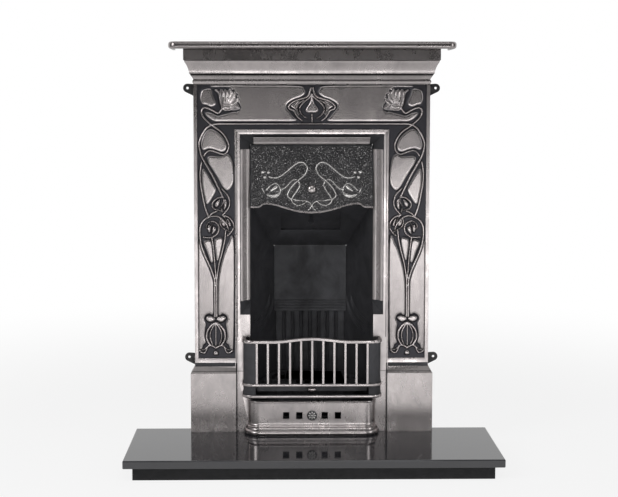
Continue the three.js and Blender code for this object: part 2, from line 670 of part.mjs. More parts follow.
// ---------------------------------------------------------------- bottom grate
function bottomGrate() {
  const { thick, frontHalf, front, backHalf, back, bars } = GRATE;
  const rim = 14;
  const edge = [
    [-frontHalf, front], [frontHalf, front], [frontHalf, 8],
    [backHalf, back], [-backHalf, back], [-frontHalf, 8],
  ];
  const inner = [
    [-frontHalf + rim, front + rim], [frontHalf - rim, front + rim], [frontHalf - rim, 6],
    [backHalf - rim, back - rim], [-backHalf + rim, back - rim], [-frontHalf + rim, 6],
  ];
  const whole = upright(edge, 0, thick);
  const pitch = (2 * (frontHalf - rim)) / (bars + 1);
  const slats = Array.from({ length: bars }, (_, i) => {
    const x = (i - (bars - 1) / 2) * pitch;
    return block(x - 5, x + 5, front + 2, back - 2, 0, thick);
  });
  const cross = block(-frontHalf + 4, frontHalf - 4, 30, 42, 0, thick);
  const infill = joined([...slats, cross]).intersect(whole);
  return joined([whole.subtract(upright(inner, -1, thick + 1)), infill]);
}

// A bearer along each cheek that carries the grate and the tongues of the front bars.
function bearer() {
  const run = (inset, y) => cheekX(y) - inset;
  const shape = [
    [run(GAP, 6), 6], [run(GAP, 160), 160], [run(20, 160), 160], [run(30, 6), 6],
  ];
  const wallRun = [[run(GAP, 6), 6], [run(GAP, 160), 160], [run(6, 160), 160], [run(6, 6), 6]];
  return joined([upright(shape, -6, 0), upright(wallRun, -26, 0)]);
}

// ---------------------------------------------------------------- ash-pan cover
function ventWindows(y0, y1, z) {
  const { vent, ventHeight } = COVER;
  return VENT_X.map((x) => block(x - vent / 2, x + vent / 2, y0, y1, z - ventHeight / 2, z + ventHeight / 2));
}

function ashPanCover() {
  const { half, front, corner, thick, height, flare, ventZ } = COVER;
  const back = FRAME.front - GAP;
  const body = band(half, front, back, corner, thick, 0, height);
  const topBead = band(half + 3, front - 3, back, corner + 3, thick + 3, height - 11, height, 4);
  const footRoll = band(half + flare, front - flare, back, corner + flare, thick + flare, 0, 19, 8);
  const footCove = [[9, 18, 22], [6, 21, 25], [3, 24, 29]].map(([out, z0, z1]) =>
    band(half + out, front - out, back, corner + out, thick + out, z0, z1),
  );
  const vents = ventWindows(front - 1, front + thick + 1, ventZ);
  const run = VENT_TRAVEL + SCREW.hole;
  const slot = block(-run, run, front - 1, front + thick + 1, ventZ - SCREW.hole, ventZ + SCREW.hole);
  return cut(joined([body, topBead, footRoll, ...footCove]), [...vents, slot]);
}

function ventShutter() {
  const { half, height, thick } = SHUTTER;
  const plate = block(-half, half, 0, thick, -height / 2, height / 2);
  return cut(plate, [...ventWindows(-1, thick + 1, 0), screwHole(0, -1, 0)]);
}

function ventGuide() {
  const long = 150;
  return joined([block(-long, long, 0, 6, 0, 7), block(-long, long, 3.4, 6, -6, 1)]);
}

function rosette() {
  const shape = new THREE.Shape();
  const count = KNOB.petals;
  for (let i = 0; i < count; i++) {
    const turn = (i / count) * 2 * Math.PI;
    const r = KNOB.radius * 0.76;
    shape.absarc(r * Math.cos(turn), r * Math.sin(turn), KNOB.radius * 0.3, turn - 1.2, turn + 1.2, false);
  }
  shape.closePath();
  const flower = new THREE.ExtrudeGeometry(shape, {
    depth: 3, bevelThickness: 2, bevelSize: 2, bevelOffset: -2, bevelSegments: 1, curveSegments: 3,
  });
  const flat = solid(flower.rotateX(Math.PI / 2));
  return joined([flat, domedKnob(5.5, 4, 4)]);
}

function ventControls() {
  const { front, thick, ventZ } = COVER;
  const inside = front + thick;
  const shank = thick + SHUTTER.thick + 2 * GAP;
  const guide = ventGuide();
  const guideGap = SHUTTER.height / 2 + GAP;
  return [
    part("vent_shutter", ventShutter(), blackIron, [0, inside + GAP, ventZ]),
    part("vent_knob", rosette(), polishedIron, [0, front - 2 - GAP, ventZ]),
    screwAt("vent_knob_screw", 0, inside + SHUTTER.thick + 2 * GAP, ventZ, [6, 4, shank]),
    part("vent_guide_top", guide, blackIron, [0, inside, ventZ + guideGap]),
    part("vent_guide_bottom", guide.mirror([0, 0, 1]), blackIron, [0, inside, ventZ - guideGap]),
  ];
}

// ---------------------------------------------------------------- ash pan
function ashPan() {
  const { frontHalf, backHalf, front, back, height, sheet } = ASH_PAN;
  const trapezoid = (inset) => [
    [-frontHalf + inset, front + inset], [frontHalf - inset, front + inset],
    [backHalf - inset, back - inset], [-backHalf + inset, back - inset],
  ];
  return upright(trapezoid(0), 0, height).subtract(upright(trapezoid(sheet), sheet, height + 1));
}

function ashPanHandle() {
  const grip = new THREE.CatmullRomCurve3(
    [[-45, 0, 0], [-45, -12, 0], [-36, -17, 0], [0, -18, 0], [36, -17, 0], [45, -12, 0], [45, 0, 0]].map(
      (p) => new THREE.Vector3(...p),
    ),
  );
  const section = new THREE.Shape();
  section.absarc(0, 0, 3, 0, 2 * Math.PI, false);
  return solid(new THREE.ExtrudeGeometry(section, { steps: 26, extrudePath: grip, curveSegments: 5 }));
}

// ---------------------------------------------------------------- assembly
function ironwork() {
  const group = new THREE.Group();
  const rightCheek = cheek();
  const rightBearer = bearer();
  const grateKnob = domedKnob(14.5, 7, 9).scale([1, 1, 0.58]);
  const shelfScrew = screw(7, 4.5, 13);
  const screwZ = SHELF_SEAT - 8 - GAP;
  const { depth } = FIREBACK;
  const upperBack = backPlate(depth, depth + PLATE, FIREBACK.ledge, THROAT.backZ - GAP);
  group.add(
    part("surround_casting", surroundCasting(), polishedIron),
    part("mantel_shelf", mantelShelf(), polishedIron),
    ...SHELF_SCREWS.map((x, i) =>
      part(`shelf_screw_${i + 1}`, shelfScrew, blackIron, [x, SHELF.screwY, screwZ]),
    ),
    ...lugs(),
    part("fireback_right_cheek", rightCheek, blackIron),
    part("fireback_left_cheek", rightCheek.mirror([1, 0, 0]), blackIron),
    ...FLANGE_SCREWS.map(([x, z], i) => screwAt(`cheek_screw_${i + 1}`, x, 7 + GAP, z, [7, 4.5, 19])),
    part("fireback_upper_plate", upperBack, blackIron),
    part("fireback_reeded_plate", reededBack(), blackIron),
    throat(),
    canopy(),
    part("canopy_hanger", canopyHanger(), blackIron),
    ...HANGER_SCREWS.map((x, i) =>
      screwAt(`hanger_screw_${i + 1}`, x, HANGER.thick + 2 * GAP, HANGER.screwZ, [7, 4.5, 16]),
    ),
    part("front_bars", frontBars(), polishedIron),
    part("bottom_grate", bottomGrate(), blackIron, [0, 0, GRATE.bottom]),
    part("grate_knob", grateKnob, polishedIron, [0, GRATE.front - GAP, GRATE.bottom + 8]),
    part("grate_bearer_right", rightBearer, blackIron, [0, 0, GRATE.bottom - GAP]),
    part("grate_bearer_left", rightBearer.mirror([1, 0, 0]), blackIron, [0, 0, GRATE.bottom - GAP]),
    part("ash_pan_cover", ashPanCover(), polishedIron, [0, 0, GAP]),
    ...ventControls(),
    part("ash_pan", ashPan(), sheetSteel, [0, 0, GAP]),
    part("ash_pan_handle", ashPanHandle(), sheetSteel, [0, ASH_PAN.front - GAP, 36]),
  );
  group.position.z = HEARTH_TOP;
  return group;
}

const fireplace = new THREE.Group();
fireplace.add(hearth(), ironwork());
// The row's origin is under the middle of the whole: halfway between the hearth's front and the fireback.
fireplace.position.y = (HEARTH.depth - FIREBACK.back) / 2;

export default fireplace;
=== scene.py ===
# %% [markdown]
# # A cast iron fireplace
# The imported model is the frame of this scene: every casting, plate, rod and screw already stands at its
# real size and place. This notebook gives the castings their finish: softened edges, the relief of flowers
# and leaves, hand-polished iron, black iron, and polished granite.

import json
import math

import bmesh
import bpy
import numpy as np
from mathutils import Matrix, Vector


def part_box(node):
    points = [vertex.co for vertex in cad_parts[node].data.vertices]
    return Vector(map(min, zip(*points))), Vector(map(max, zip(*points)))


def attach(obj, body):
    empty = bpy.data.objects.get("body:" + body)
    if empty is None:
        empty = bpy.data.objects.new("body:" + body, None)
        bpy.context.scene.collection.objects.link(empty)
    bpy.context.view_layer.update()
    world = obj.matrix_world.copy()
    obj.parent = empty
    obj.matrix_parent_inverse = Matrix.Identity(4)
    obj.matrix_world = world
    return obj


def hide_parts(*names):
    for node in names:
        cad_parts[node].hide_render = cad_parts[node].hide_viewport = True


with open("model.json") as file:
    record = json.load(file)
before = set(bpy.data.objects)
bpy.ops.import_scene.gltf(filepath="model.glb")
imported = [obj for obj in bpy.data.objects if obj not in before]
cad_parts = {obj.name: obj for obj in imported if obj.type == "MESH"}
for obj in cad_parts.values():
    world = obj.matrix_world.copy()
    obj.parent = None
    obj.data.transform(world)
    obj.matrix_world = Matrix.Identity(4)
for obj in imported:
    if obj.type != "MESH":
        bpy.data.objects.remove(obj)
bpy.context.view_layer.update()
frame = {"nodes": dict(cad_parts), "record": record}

# %% [markdown]
# The pieces were measured in millimetres from the wall plane and from the top of the hearth. The helper
# `at` turns such a place into metres in the frame.

# %% Places on the fireplace
MM = 0.001
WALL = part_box("surround_casting")[1].y
HEARTH_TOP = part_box("hearth_slab")[1].z


def at(x, y, z):
    """Metres in the frame, from millimetres right of the middle, behind the wall, above the hearth."""
    return Vector((x * MM, WALL + y * MM, HEARTH_TOP + z * MM))


print("wall plane at", round(WALL, 4), "hearth top at", round(HEARTH_TOP, 4))

# %% [markdown]
# ## Camera
# The camera stands a little left of the middle, level with the frieze, about four metres from the wall. It
# looks down by a few degrees, and a small lens shift does the rest, so the uprights stay nearly parallel.

# %% Camera
CAMERA = {"x": -108.5, "from_wall": -4116, "height": 1210.6, "lens": 69.96, "pitch": 4.573, "yaw": 0.798}
SHIFT = (0.02, -0.084)

camera_data = bpy.data.cameras.new("camera")
camera_data.lens = CAMERA["lens"]
camera_data.sensor_width = 36
camera_data.shift_x, camera_data.shift_y = SHIFT
camera = bpy.data.objects.new("camera", camera_data)
camera.location = (CAMERA["x"] * MM, WALL + CAMERA["from_wall"] * MM, CAMERA["height"] * MM)
camera.rotation_euler = (math.radians(90 - CAMERA["pitch"]), 0, math.radians(-CAMERA["yaw"]))
bpy.context.scene.collection.objects.link(camera)
bpy.context.scene.camera = camera
bpy.context.scene.view_settings.view_transform = "Standard"
print("camera at", [round(v, 3) for v in camera.location])

# %% [markdown]
# ## Node helpers
# Materials and studio are node trees, and small helpers keep the code short. They add a node and set its
# values, do sums and mix colours, read a place or a mask, start a reusable node group with named sockets, and
# place such a group in a material.

# %% Node helpers
SOCKETS = {"value": "NodeSocketFloat", "color": "NodeSocketColor", "vector": "NodeSocketVector"}


def node(tree, kind, values=None, **settings):
    """Adds a node; values go to its inputs, by name or number, and a socket is linked in place of a value."""
    made = tree.nodes.new(kind)
    for key, value in settings.items():
        setattr(made, key, value)
    for key, value in (values or {}).items():
        if isinstance(value, bpy.types.NodeSocket):
            tree.links.new(value, made.inputs[key])
        else:
            made.inputs[key].default_value = value
    return made


def math_node(tree, operation, *values):
    return node(tree, "ShaderNodeMath", dict(enumerate(values)), operation=operation).outputs[0]


def mix_color(tree, factor, first, second, blend="MIX"):
    """Mixes two colours; the colour sockets of this node are numbers 6 and 7."""
    return node(
        tree, "ShaderNodeMix", {0: factor, 6: first, 7: second}, data_type="RGBA", blend_type=blend
    ).outputs[2]


def ramp(tree, factor, low, high, out_low=0.0, out_high=1.0):
    """A straight, clamped change from out_low to out_high as factor goes from low to high."""
    values = {0: factor, 1: low, 2: high, 3: out_low, 4: out_high}
    return node(tree, "ShaderNodeMapRange", values, interpolation_type="SMOOTHSTEP").outputs[0]


def object_place(tree):
    return node(tree, "ShaderNodeTexCoord").outputs["Object"]


def vertex_mask(tree, name):
    return node(tree, "ShaderNodeAttribute", attribute_name=name).outputs["Fac"]


def new_group(name, inputs, outputs):
    """A shader node group with named sockets: inputs are (name, kind, default), outputs are (name, kind)."""
    group = bpy.data.node_groups.new(name, "ShaderNodeTree")
    for label, kind, default in inputs:
        socket = group.interface.new_socket(label, in_out="INPUT", socket_type=SOCKETS[kind])
        socket.default_value = default
    for label, kind in outputs:
        group.interface.new_socket(label, in_out="OUTPUT", socket_type=SOCKETS[kind])
    return group, group.nodes.new("NodeGroupInput").outputs, group.nodes.new("NodeGroupOutput").inputs


def effect(tree, group, values):
    """Puts an effect group into a material, with values for its inputs."""
    made = tree.nodes.new("ShaderNodeGroup")
    made.node_tree = group
    for key, value in values.items():
        made.inputs[key].default_value = value
    return made


# %% [markdown]
# ## Studio
# The floor is a white disc and the background is white. Near the object the floor takes the soft shadow of
# the hearth, and towards its rim it fades into the background. In front of the object the studio is darker,
# which is what gives polished iron its contrast: the upper castings mirror the dark room, the lower ones
# the white floor.

# %% Floor and background
STUDIO = {
    "floor_radius": 3.9, "floor_glow": 0.84, "fade": (1.0, 3.4), "room": 0.05, "sky": 0.27, "backdrop": 1.0
}

floor_mesh = bpy.data.meshes.new("floor")
disc = bmesh.new()
bmesh.ops.create_circle(disc, cap_ends=True, segments=96, radius=STUDIO["floor_radius"])
disc.to_mesh(floor_mesh)
disc.free()
floor = bpy.data.objects.new("floor", floor_mesh)
bpy.context.scene.collection.objects.link(floor)


def seen_directly(tree):
    """1 for rays from the camera, from a mirror or through glass, which all see one background."""
    path = tree.nodes.new("ShaderNodeLightPath").outputs
    seen = math_node(tree, "MAXIMUM", path["Is Camera Ray"], path["Is Glossy Ray"])
    return math_node(tree, "MAXIMUM", seen, path["Is Transmission Ray"])


floor_material = bpy.data.materials.new("studio_floor")
floor_material.use_nodes = True
tree = floor_material.node_tree
tree.nodes.clear()
paint = node(tree, "ShaderNodeBsdfDiffuse", {"Color": (0.86, 0.86, 0.87, 1)})
glow = node(tree, "ShaderNodeEmission", {"Color": (1, 1, 1, 1), "Strength": 1.0})
place = object_place(tree)
distance = node(tree, "ShaderNodeVectorMath", {0: place}, operation="LENGTH").outputs["Value"]
glowing = ramp(tree, distance, *STUDIO["fade"], STUDIO["floor_glow"], 1.0)
share = math_node(tree, "MULTIPLY", seen_directly(tree), glowing)
floor_mix = node(tree, "ShaderNodeMixShader", {0: share, 1: paint.outputs[0], 2: glow.outputs[0]})
node(tree, "ShaderNodeOutputMaterial", {"Surface": floor_mix.outputs[0]})
floor_mesh.materials.append(floor_material)

world = bpy.data.worlds.new("studio")
bpy.context.scene.world = world
world.use_nodes = True
tree = world.node_tree
tree.nodes.clear()
direction = node(tree, "ShaderNodeTexCoord").outputs["Generated"]
parts = node(tree, "ShaderNodeSeparateXYZ", {0: direction}).outputs
overhead = ramp(tree, parts["Z"], 0.05, 0.75, STUDIO["room"], STUDIO["sky"])
behind = ramp(tree, parts["Y"], -0.05, 0.35)
path = tree.nodes.new("ShaderNodeLightPath").outputs
straight = math_node(tree, "MAXIMUM", path["Is Camera Ray"], path["Is Transmission Ray"])
mirrored = math_node(tree, "MULTIPLY", path["Is Glossy Ray"], behind)
white = math_node(tree, "MAXIMUM", straight, mirrored)
level = math_node(tree, "ADD", overhead, white)
level = math_node(tree, "MINIMUM", level, STUDIO["backdrop"])
background = node(tree, "ShaderNodeBackground", {"Color": (1, 1, 1, 1), "Strength": level})
node(tree, "ShaderNodeOutputWorld", {"Surface": background.outputs[0]})
print("studio: floor and background")

# %% Lamps
CENTRE = Vector((0, WALL, 0.72))


def softbox(name, place, size, watts, target=CENTRE):
    """A rectangular area lamp that faces the object."""
    data = bpy.data.lights.new(name, "AREA")
    data.energy = watts
    data.shape = "RECTANGLE"
    data.size, data.size_y = size
    lamp = bpy.data.objects.new(name, data)
    lamp.location = place
    lamp.rotation_euler = (target - Vector(place)).to_track_quat("-Z", "Y").to_euler()
    bpy.context.scene.collection.objects.link(lamp)
    return lamp


softbox("key_left", (-2.8, -2.2, 2.2), (1.2, 2.0), 46)
softbox("fill_right", (2.9, -1.9, 1.5), (0.9, 2.0), 20)
softbox("overhead", (0.1, -2.4, 3.6), (2.2, 1.0), 16)
softbox("low_front", (0.3, -3.4, 0.3), (2.6, 0.5), 19, Vector((0, WALL, 0.4)))

# %% [markdown]
# ## Effects shared by the materials
# Each effect that more than one material uses is a node group: the cloudy wear of hand-polished iron, the
# fine lines that the polishing leaves, the sandy skin of a casting, and the darkening in corners, which is
# black left in the hollows and painted shade.

# %% Cloudy wear
cloud_group, group_in, group_out = new_group(
    "cloudy_wear",
    [("Scale", "value", 8.0), ("Stretch", "value", 1.0), ("Contrast", "value", 1.0)],
    [("Mask", "value")],
)
place = object_place(cloud_group)
tall = node(cloud_group, "ShaderNodeCombineXYZ", {0: 1.0, 1: 1.0, 2: group_in["Stretch"]}).outputs[0]
stretched = node(cloud_group, "ShaderNodeVectorMath", {0: place, 1: tall}, operation="MULTIPLY").outputs[0]
clouds = node(
    cloud_group,
    "ShaderNodeTexNoise",
    {"Vector": stretched, "Scale": group_in["Scale"], "Detail": 5.0, "Roughness": 0.62, "Distortion": 0.7},
).outputs[0]
centred = math_node(cloud_group, "SUBTRACT", clouds, 0.5)
scaled = math_node(cloud_group, "MULTIPLY", centred, group_in["Contrast"])
mask = math_node(cloud_group, "ADD", scaled, 0.5)
cloud_group.links.new(node(cloud_group, "ShaderNodeClamp", {0: mask}).outputs[0], group_out["Mask"])

# %% Polishing lines
lines_group, group_in, group_out = new_group(
    "polishing_lines",
    [("Across", "value", 900.0), ("Along", "value", 40.0)],
    [("Mask", "value")],
)
place = object_place(lines_group)
wander = node(
    lines_group, "ShaderNodeTexNoise", {"Vector": place, "Scale": 5.0, "Detail": 2.0}
).outputs["Color"]
drift = node(
    lines_group, "ShaderNodeVectorMath", {0: wander, 1: (0.06, 0.06, 0.06)}, operation="MULTIPLY"
).outputs[0]
bent = node(lines_group, "ShaderNodeVectorMath", {0: place, 1: drift}, operation="ADD").outputs[0]
spread = node(
    lines_group,
    "ShaderNodeCombineXYZ",
    {0: group_in["Across"], 1: group_in["Across"], 2: group_in["Along"]},
).outputs[0]
drawn = node(lines_group, "ShaderNodeVectorMath", {0: bent, 1: spread}, operation="MULTIPLY").outputs[0]
strokes_noise = node(
    lines_group, "ShaderNodeTexNoise", {"Vector": drawn, "Scale": 1.0, "Detail": 3.0}
).outputs[0]
lines_group.links.new(strokes_noise, group_out["Mask"])

# %% Sandy casting skin
sand_group, group_in, group_out = new_group(
    "casting_skin", [("Grain", "value", 1400.0), ("Pits", "value", 260.0)], [("Height", "value")]
)
place = object_place(sand_group)
fine = node(
    sand_group, "ShaderNodeTexNoise", {"Vector": place, "Scale": group_in["Grain"], "Detail": 2.0}
).outputs[0]
pits = node(
    sand_group, "ShaderNodeTexVoronoi", {"Vector": place, "Scale": group_in["Pits"]}, feature="SMOOTH_F1"
).outputs["Distance"]
both = math_node(
    sand_group,
    "ADD",
    math_node(sand_group, "MULTIPLY", fine, 0.6),
    math_node(sand_group, "MULTIPLY", pits, 0.5),
)
sand_group.links.new(both, group_out["Height"])

# %% Dark corners: black in the hollows and painted shade
hollow_black_and_shade_group, group_in, group_out = new_group(
    "hollow_black_and_shade", [("Reach", "value", 0.02), ("Strength", "value", 1.0)], [("Mask", "value")]
)
# Painted shade: an occlusion node darkens corners, creases and places close to other parts, on top of the
# black left in the hollows.
occlusion = node(hollow_black_and_shade_group, "ShaderNodeAmbientOcclusion", {"Distance": group_in["Reach"]}, samples=6)
closed = math_node(hollow_black_and_shade_group, "SUBTRACT", 1.0, occlusion.outputs["AO"])
deep = ramp(hollow_black_and_shade_group, closed, 0.25, 0.75)
hollow_black_and_shade_group.links.new(math_node(hollow_black_and_shade_group, "MULTIPLY", deep, group_in["Strength"]), group_out["Mask"])
print("effect groups:", [g.name for g in bpy.data.node_groups])

# %% [markdown]
# ## Materials
# Polished iron is a grey metal whose roughness changes with the hand that rubbed it. The relief uses the
# same finish with one more mask: a value per vertex, high on the crests that the polishing wheel reached
# and low in the ground it left black.


# %% Start a material
def new_material(name):
    material = bpy.data.materials.new(name)
    material.use_nodes = True
    tree = material.node_tree
    tree.nodes.clear()
    shader = tree.nodes.new("ShaderNodeBsdfPrincipled")
    node(tree, "ShaderNodeOutputMaterial", {"Surface": shader.outputs[0]})
    return material, tree, shader


def wire(tree, shader, **values):
    for key, value in values.items():
        socket = shader.inputs[key.replace("_", " ")]
        if isinstance(value, bpy.types.NodeSocket):
            tree.links.new(value, socket)
        else:
            socket.default_value = value


def bump(tree, height, strength, distance):
    return node(
        tree, "ShaderNodeBump", {"Strength": strength, "Distance": distance, "Height": height}
    ).outputs[0]


# %% Polished iron
IRON = {
    "bright": (0.66, 0.61, 0.6, 1),
    "dull": (0.3, 0.278, 0.28, 1),
    # darkened is the colour of the painted shade towards the top, and of the darker lower field.
    "darkened": (0.13, 0.118, 0.116, 1),
    "ground": (0.05, 0.049, 0.055, 1),
    "black": (0.012, 0.012, 0.013, 1),
}


# %% Painted shade on the upper castings, darker towards the top
top_shade_group, group_in, group_out = new_group("top_shade", [("Strength", "value", 0.5)], [("Mask", "value")])
place = object_place(top_shade_group)
height = node(top_shade_group, "ShaderNodeSeparateXYZ", {0: place}).outputs["Z"]
drift = node(top_shade_group, "ShaderNodeTexNoise", {"Vector": place, "Scale": 3.5, "Detail": 3.0}).outputs[0]
level = math_node(top_shade_group, "ADD", height, math_node(top_shade_group, "MULTIPLY", drift, 0.3))
rising = ramp(top_shade_group, level, 1.05, 1.5)
top_shade_group.links.new(math_node(top_shade_group, "MULTIPLY", rising, group_in["Strength"]), group_out["Mask"])

# %% Polished iron with its variants
FIELD_TONE = {"from": 0.6, "to": 1.1, "low": 0.46, "high": 0.08}
# Where dark lines are drawn in the grooves: black left in them, and painted shade.
FOOT_LINE = (258.0, 3.0, 240)
FRAME_LINE = {"half": 254.5, "head": 1033.5, "foot": 330, "width": 1.9}
DARK_GROOVES = ((1273.6, 2.4, 0.75), (1226.5, 4.0, 1.0), (1206.0, 2.6, 0.9), (1310.0, 3.0, 0.5), (212.0, 2.2, 0.6))


def groove(tree, value, middle, half_width, strength=1.0):
    """A soft line where the value is near the middle; its half width is in millimetres."""
    away = math_node(tree, "ABSOLUTE", math_node(tree, "SUBTRACT", value, middle))
    return ramp(tree, away, 0.3 * half_width * MM, half_width * MM, strength, 0.0)


def groove_black_and_shade(tree):
    """Dark lines in the grooves of cornice, foot blocks and frame: black left there, plus painted shade."""
    place = object_place(tree)
    height = node(tree, "ShaderNodeSeparateXYZ", {0: place}).outputs["Z"]
    found = 0.0
    for level, half_width, strength in DARK_GROOVES:
        line = groove(tree, height, HEARTH_TOP + level * MM, half_width, strength)
        found = math_node(tree, "MAXIMUM", found, line)
    across = math_node(tree, "ABSOLUTE", node(tree, "ShaderNodeSeparateXYZ", {0: place}).outputs["X"])
    beside, half_width, top = FOOT_LINE
    upright = groove(tree, across, beside * MM, half_width)
    under = math_node(tree, "LESS_THAN", height, HEARTH_TOP + top * MM)
    found = math_node(tree, "MAXIMUM", found, math_node(tree, "MULTIPLY", upright, under))
    aside = math_node(tree, "SUBTRACT", across, FRAME_LINE["half"] * MM)
    above = math_node(tree, "SUBTRACT", height, HEARTH_TOP + FRAME_LINE["head"] * MM)
    away = math_node(tree, "ABSOLUTE", math_node(tree, "MAXIMUM", aside, above))
    framed = ramp(tree, away, 0.3 * FRAME_LINE["width"] * MM, FRAME_LINE["width"] * MM, 0.85, 0.0)
    over = math_node(tree, "GREATER_THAN", height, HEARTH_TOP + FRAME_LINE["foot"] * MM)
    return math_node(tree, "MAXIMUM", found, math_node(tree, "MULTIPLY", framed, over))


def polished_iron(
    name, with_relief=False, reach=0.02, corner=0.95, lines_too=False, metal=1.0, matt=0.0, top_shade=0.42
):
    """Hand-polished cast iron; with_relief adds the vertex masks that leave the relief's ground black."""
    material, tree, shader = new_material(name)
    broad = effect(tree, cloud_group, {"Scale": 6.0, "Stretch": 0.55, "Contrast": 2.2}).outputs[0]
    close = effect(tree, cloud_group, {"Scale": 34.0, "Stretch": 0.6, "Contrast": 1.6}).outputs[0]
    lines = effect(tree, lines_group, {"Across": 900.0, "Along": 45.0}).outputs[0]
    shine = math_node(
        tree, "ADD", math_node(tree, "MULTIPLY", broad, 0.6), math_node(tree, "MULTIPLY", close, 0.4)
    )
    color = mix_color(tree, shine, IRON["dull"], IRON["bright"])
    # Painted shade: the castings grow darker towards the top, standing in for the dark room that the upper
    # castings mirror.
    color = mix_color(tree, effect(tree, top_shade_group, {"Strength": top_shade}).outputs[0], color, IRON["darkened"])
    # Painted shade and black in the hollows: corners, creases and places near other parts are darkened
    # towards black.
    corners = effect(tree, hollow_black_and_shade_group, {"Reach": reach, "Strength": corner}).outputs[0]
    color = mix_color(tree, corners, color, IRON["black"])
    # Painted shade and black in the grooves: dark lines by height.
    if lines_too:
        color = mix_color(tree, groove_black_and_shade(tree), color, IRON["black"])
    rough = ramp(tree, shine, 0.15, 0.85, 0.33 + matt, 0.18 + matt)
    rough = math_node(tree, "ADD", rough, math_node(tree, "MULTIPLY", lines, 0.06))
    if with_relief:
        field = vertex_mask(tree, "field")
        place = object_place(tree)
        level = node(tree, "ShaderNodeSeparateXYZ", {0: place}).outputs["Z"]
        tone = math_node(tree, "MULTIPLY", field, ramp(tree, level, *FIELD_TONE.values()))
        color = mix_color(tree, tone, color, IRON["darkened"])
        rubbed = vertex_mask(tree, "polish")
        worn = math_node(
            tree, "ADD", rubbed, math_node(tree, "MULTIPLY", math_node(tree, "SUBTRACT", close, 0.5), 0.24)
        )
        rubbed = math_node(tree, "MULTIPLY", ramp(tree, worn, 0.1, 0.9), ramp(tree, rubbed, 0.02, 0.2))
        color = mix_color(tree, rubbed, IRON["ground"], color)
        # Painted shade and black ground: the narrow gap beside each stem is darkened towards black.
        gap_black_and_shade = vertex_mask(tree, "moat")
        color = mix_color(tree, gap_black_and_shade, color, IRON["black"])
        rough = ramp(tree, rubbed, 0.0, 1.0, 0.42, 0.27)
    relief = math_node(tree, "ADD", math_node(tree, "MULTIPLY", lines, 0.5), close)
    wire(
        tree, shader, Base_Color=color, Roughness=rough, Metallic=metal,
        Normal=bump(tree, relief, 0.04 if with_relief else 0.1, 0.0006)
    )
    return material


materials = {
    "polished_iron": polished_iron("polished_iron"),
    "surround_iron": polished_iron("surround_iron", reach=0.014, corner=0.6, lines_too=True, top_shade=0.36),
    "relief_iron": polished_iron("relief_iron", True, reach=0.008, corner=0.7, top_shade=0.0),
    "shelf_iron": polished_iron("shelf_iron", corner=0.35, lines_too=True, top_shade=0.5),
    "cover_iron": polished_iron("cover_iron", reach=0.006, corner=0.8),
    # Lit copies of polished iron for the reveal strips: less metallic, matter and without the painted corner
    # and top shade, so that they render lighter: painted light.
    "strip_lit_copy_iron": polished_iron("strip_lit_copy_iron", True, corner=0.0, metal=0.4, matt=0.14, top_shade=0.0),
    "strip_head_lit_copy_iron": polished_iron("strip_head_lit_copy_iron", True, corner=0.0, metal=0.1, matt=0.2, top_shade=0.0),
}

# %% Mottled surfaces
MOTTLED = {
    "black_iron": {
        "cloud": (9.0, 0.8, 1.8), "skin": (1500.0, 330.0), "rough": (0.62, 0.46), "relief": (0.35, 0.0006),
        "tones": ((0.022, 0.022, 0.024), (0.075, 0.075, 0.083)), "Metallic": 0.35,
    },
    "lug_paint": {
        "cloud": (30.0, 1.0, 1.6), "skin": (1500.0, 330.0), "rough": (0.5, 0.36), "relief": (0.3, 0.0006),
        "tones": ((0.006, 0.006, 0.007), (0.016, 0.016, 0.017)), "Metallic": 0.0,
    },
    "granite_honed": {
        "cloud": (40.0, 1.0, 1.6), "skin": (900.0, 200.0), "rough": (0.6, 0.42), "relief": (0.2, 0.0005),
        "tones": ((0.005, 0.005, 0.006), (0.013, 0.013, 0.014)), "Specular_IOR_Level": 0.25,
    },
    "sheet_steel": {
        "cloud": (22.0, 1.0, 1.5), "skin": (2600.0, 500.0), "rough": (0.48, 0.34), "relief": (0.12, 0.0004),
        "tones": ((0.03, 0.03, 0.033), (0.055, 0.055, 0.058)), "Metallic": 0.0,
    },
}


def mottled(name, cloud, skin, rough, relief, tones, **values):
    """A dull surface in two tones: cloud is scale, stretch and contrast, skin is grain and pits."""
    material, tree, shader = new_material(name)
    clouds = effect(tree, cloud_group, dict(zip(("Scale", "Stretch", "Contrast"), cloud))).outputs[0]
    sand = effect(tree, sand_group, dict(zip(("Grain", "Pits"), skin))).outputs[0]
    color = mix_color(tree, clouds, *((*tone, 1) for tone in tones))
    rough = ramp(tree, clouds, 0.1, 0.9, *rough)
    wire(tree, shader, Base_Color=color, Roughness=rough, **values, Normal=bump(tree, sand, *relief))
    return material


for name, looks in MOTTLED.items():
    materials[name] = mottled(name, **looks)

# %% Polished granite
material, tree, shader = new_material("granite")
place = object_place(tree)
specks = node(tree, "ShaderNodeTexVoronoi", {"Vector": place, "Scale": 520.0}).outputs["Distance"]
glint = node(tree, "ShaderNodeTexNoise", {"Vector": place, "Scale": 190.0, "Detail": 4.0}).outputs[0]
speck = math_node(tree, "MULTIPLY", ramp(tree, specks, 0.28, 0.1), ramp(tree, glint, 0.5, 0.64))
clouds = effect(tree, cloud_group, {"Scale": 5.0, "Stretch": 1.0, "Contrast": 1.5}).outputs[0]
color = mix_color(tree, clouds, (0.02, 0.02, 0.023, 1), (0.034, 0.034, 0.039, 1))
color = mix_color(tree, speck, color, (0.075, 0.078, 0.085, 1))
rough = ramp(tree, clouds, 0.1, 0.9, 0.04, 0.09)
wire(tree, shader, Base_Color=color, Roughness=rough, Metallic=0.0, Specular_IOR_Level=0.85)
materials["granite"] = material

# %% Mortar
material, tree, shader = new_material("mortar")
skin = effect(tree, sand_group, {"Grain": 600.0, "Pits": 90.0}).outputs[0]
color = mix_color(tree, skin, (0.17, 0.16, 0.15, 1), (0.36, 0.35, 0.33, 1))
wire(tree, shader, Base_Color=color, Roughness=0.92, Metallic=0.0, Normal=bump(tree, skin, 0.7, 0.002))
materials["mortar"] = material

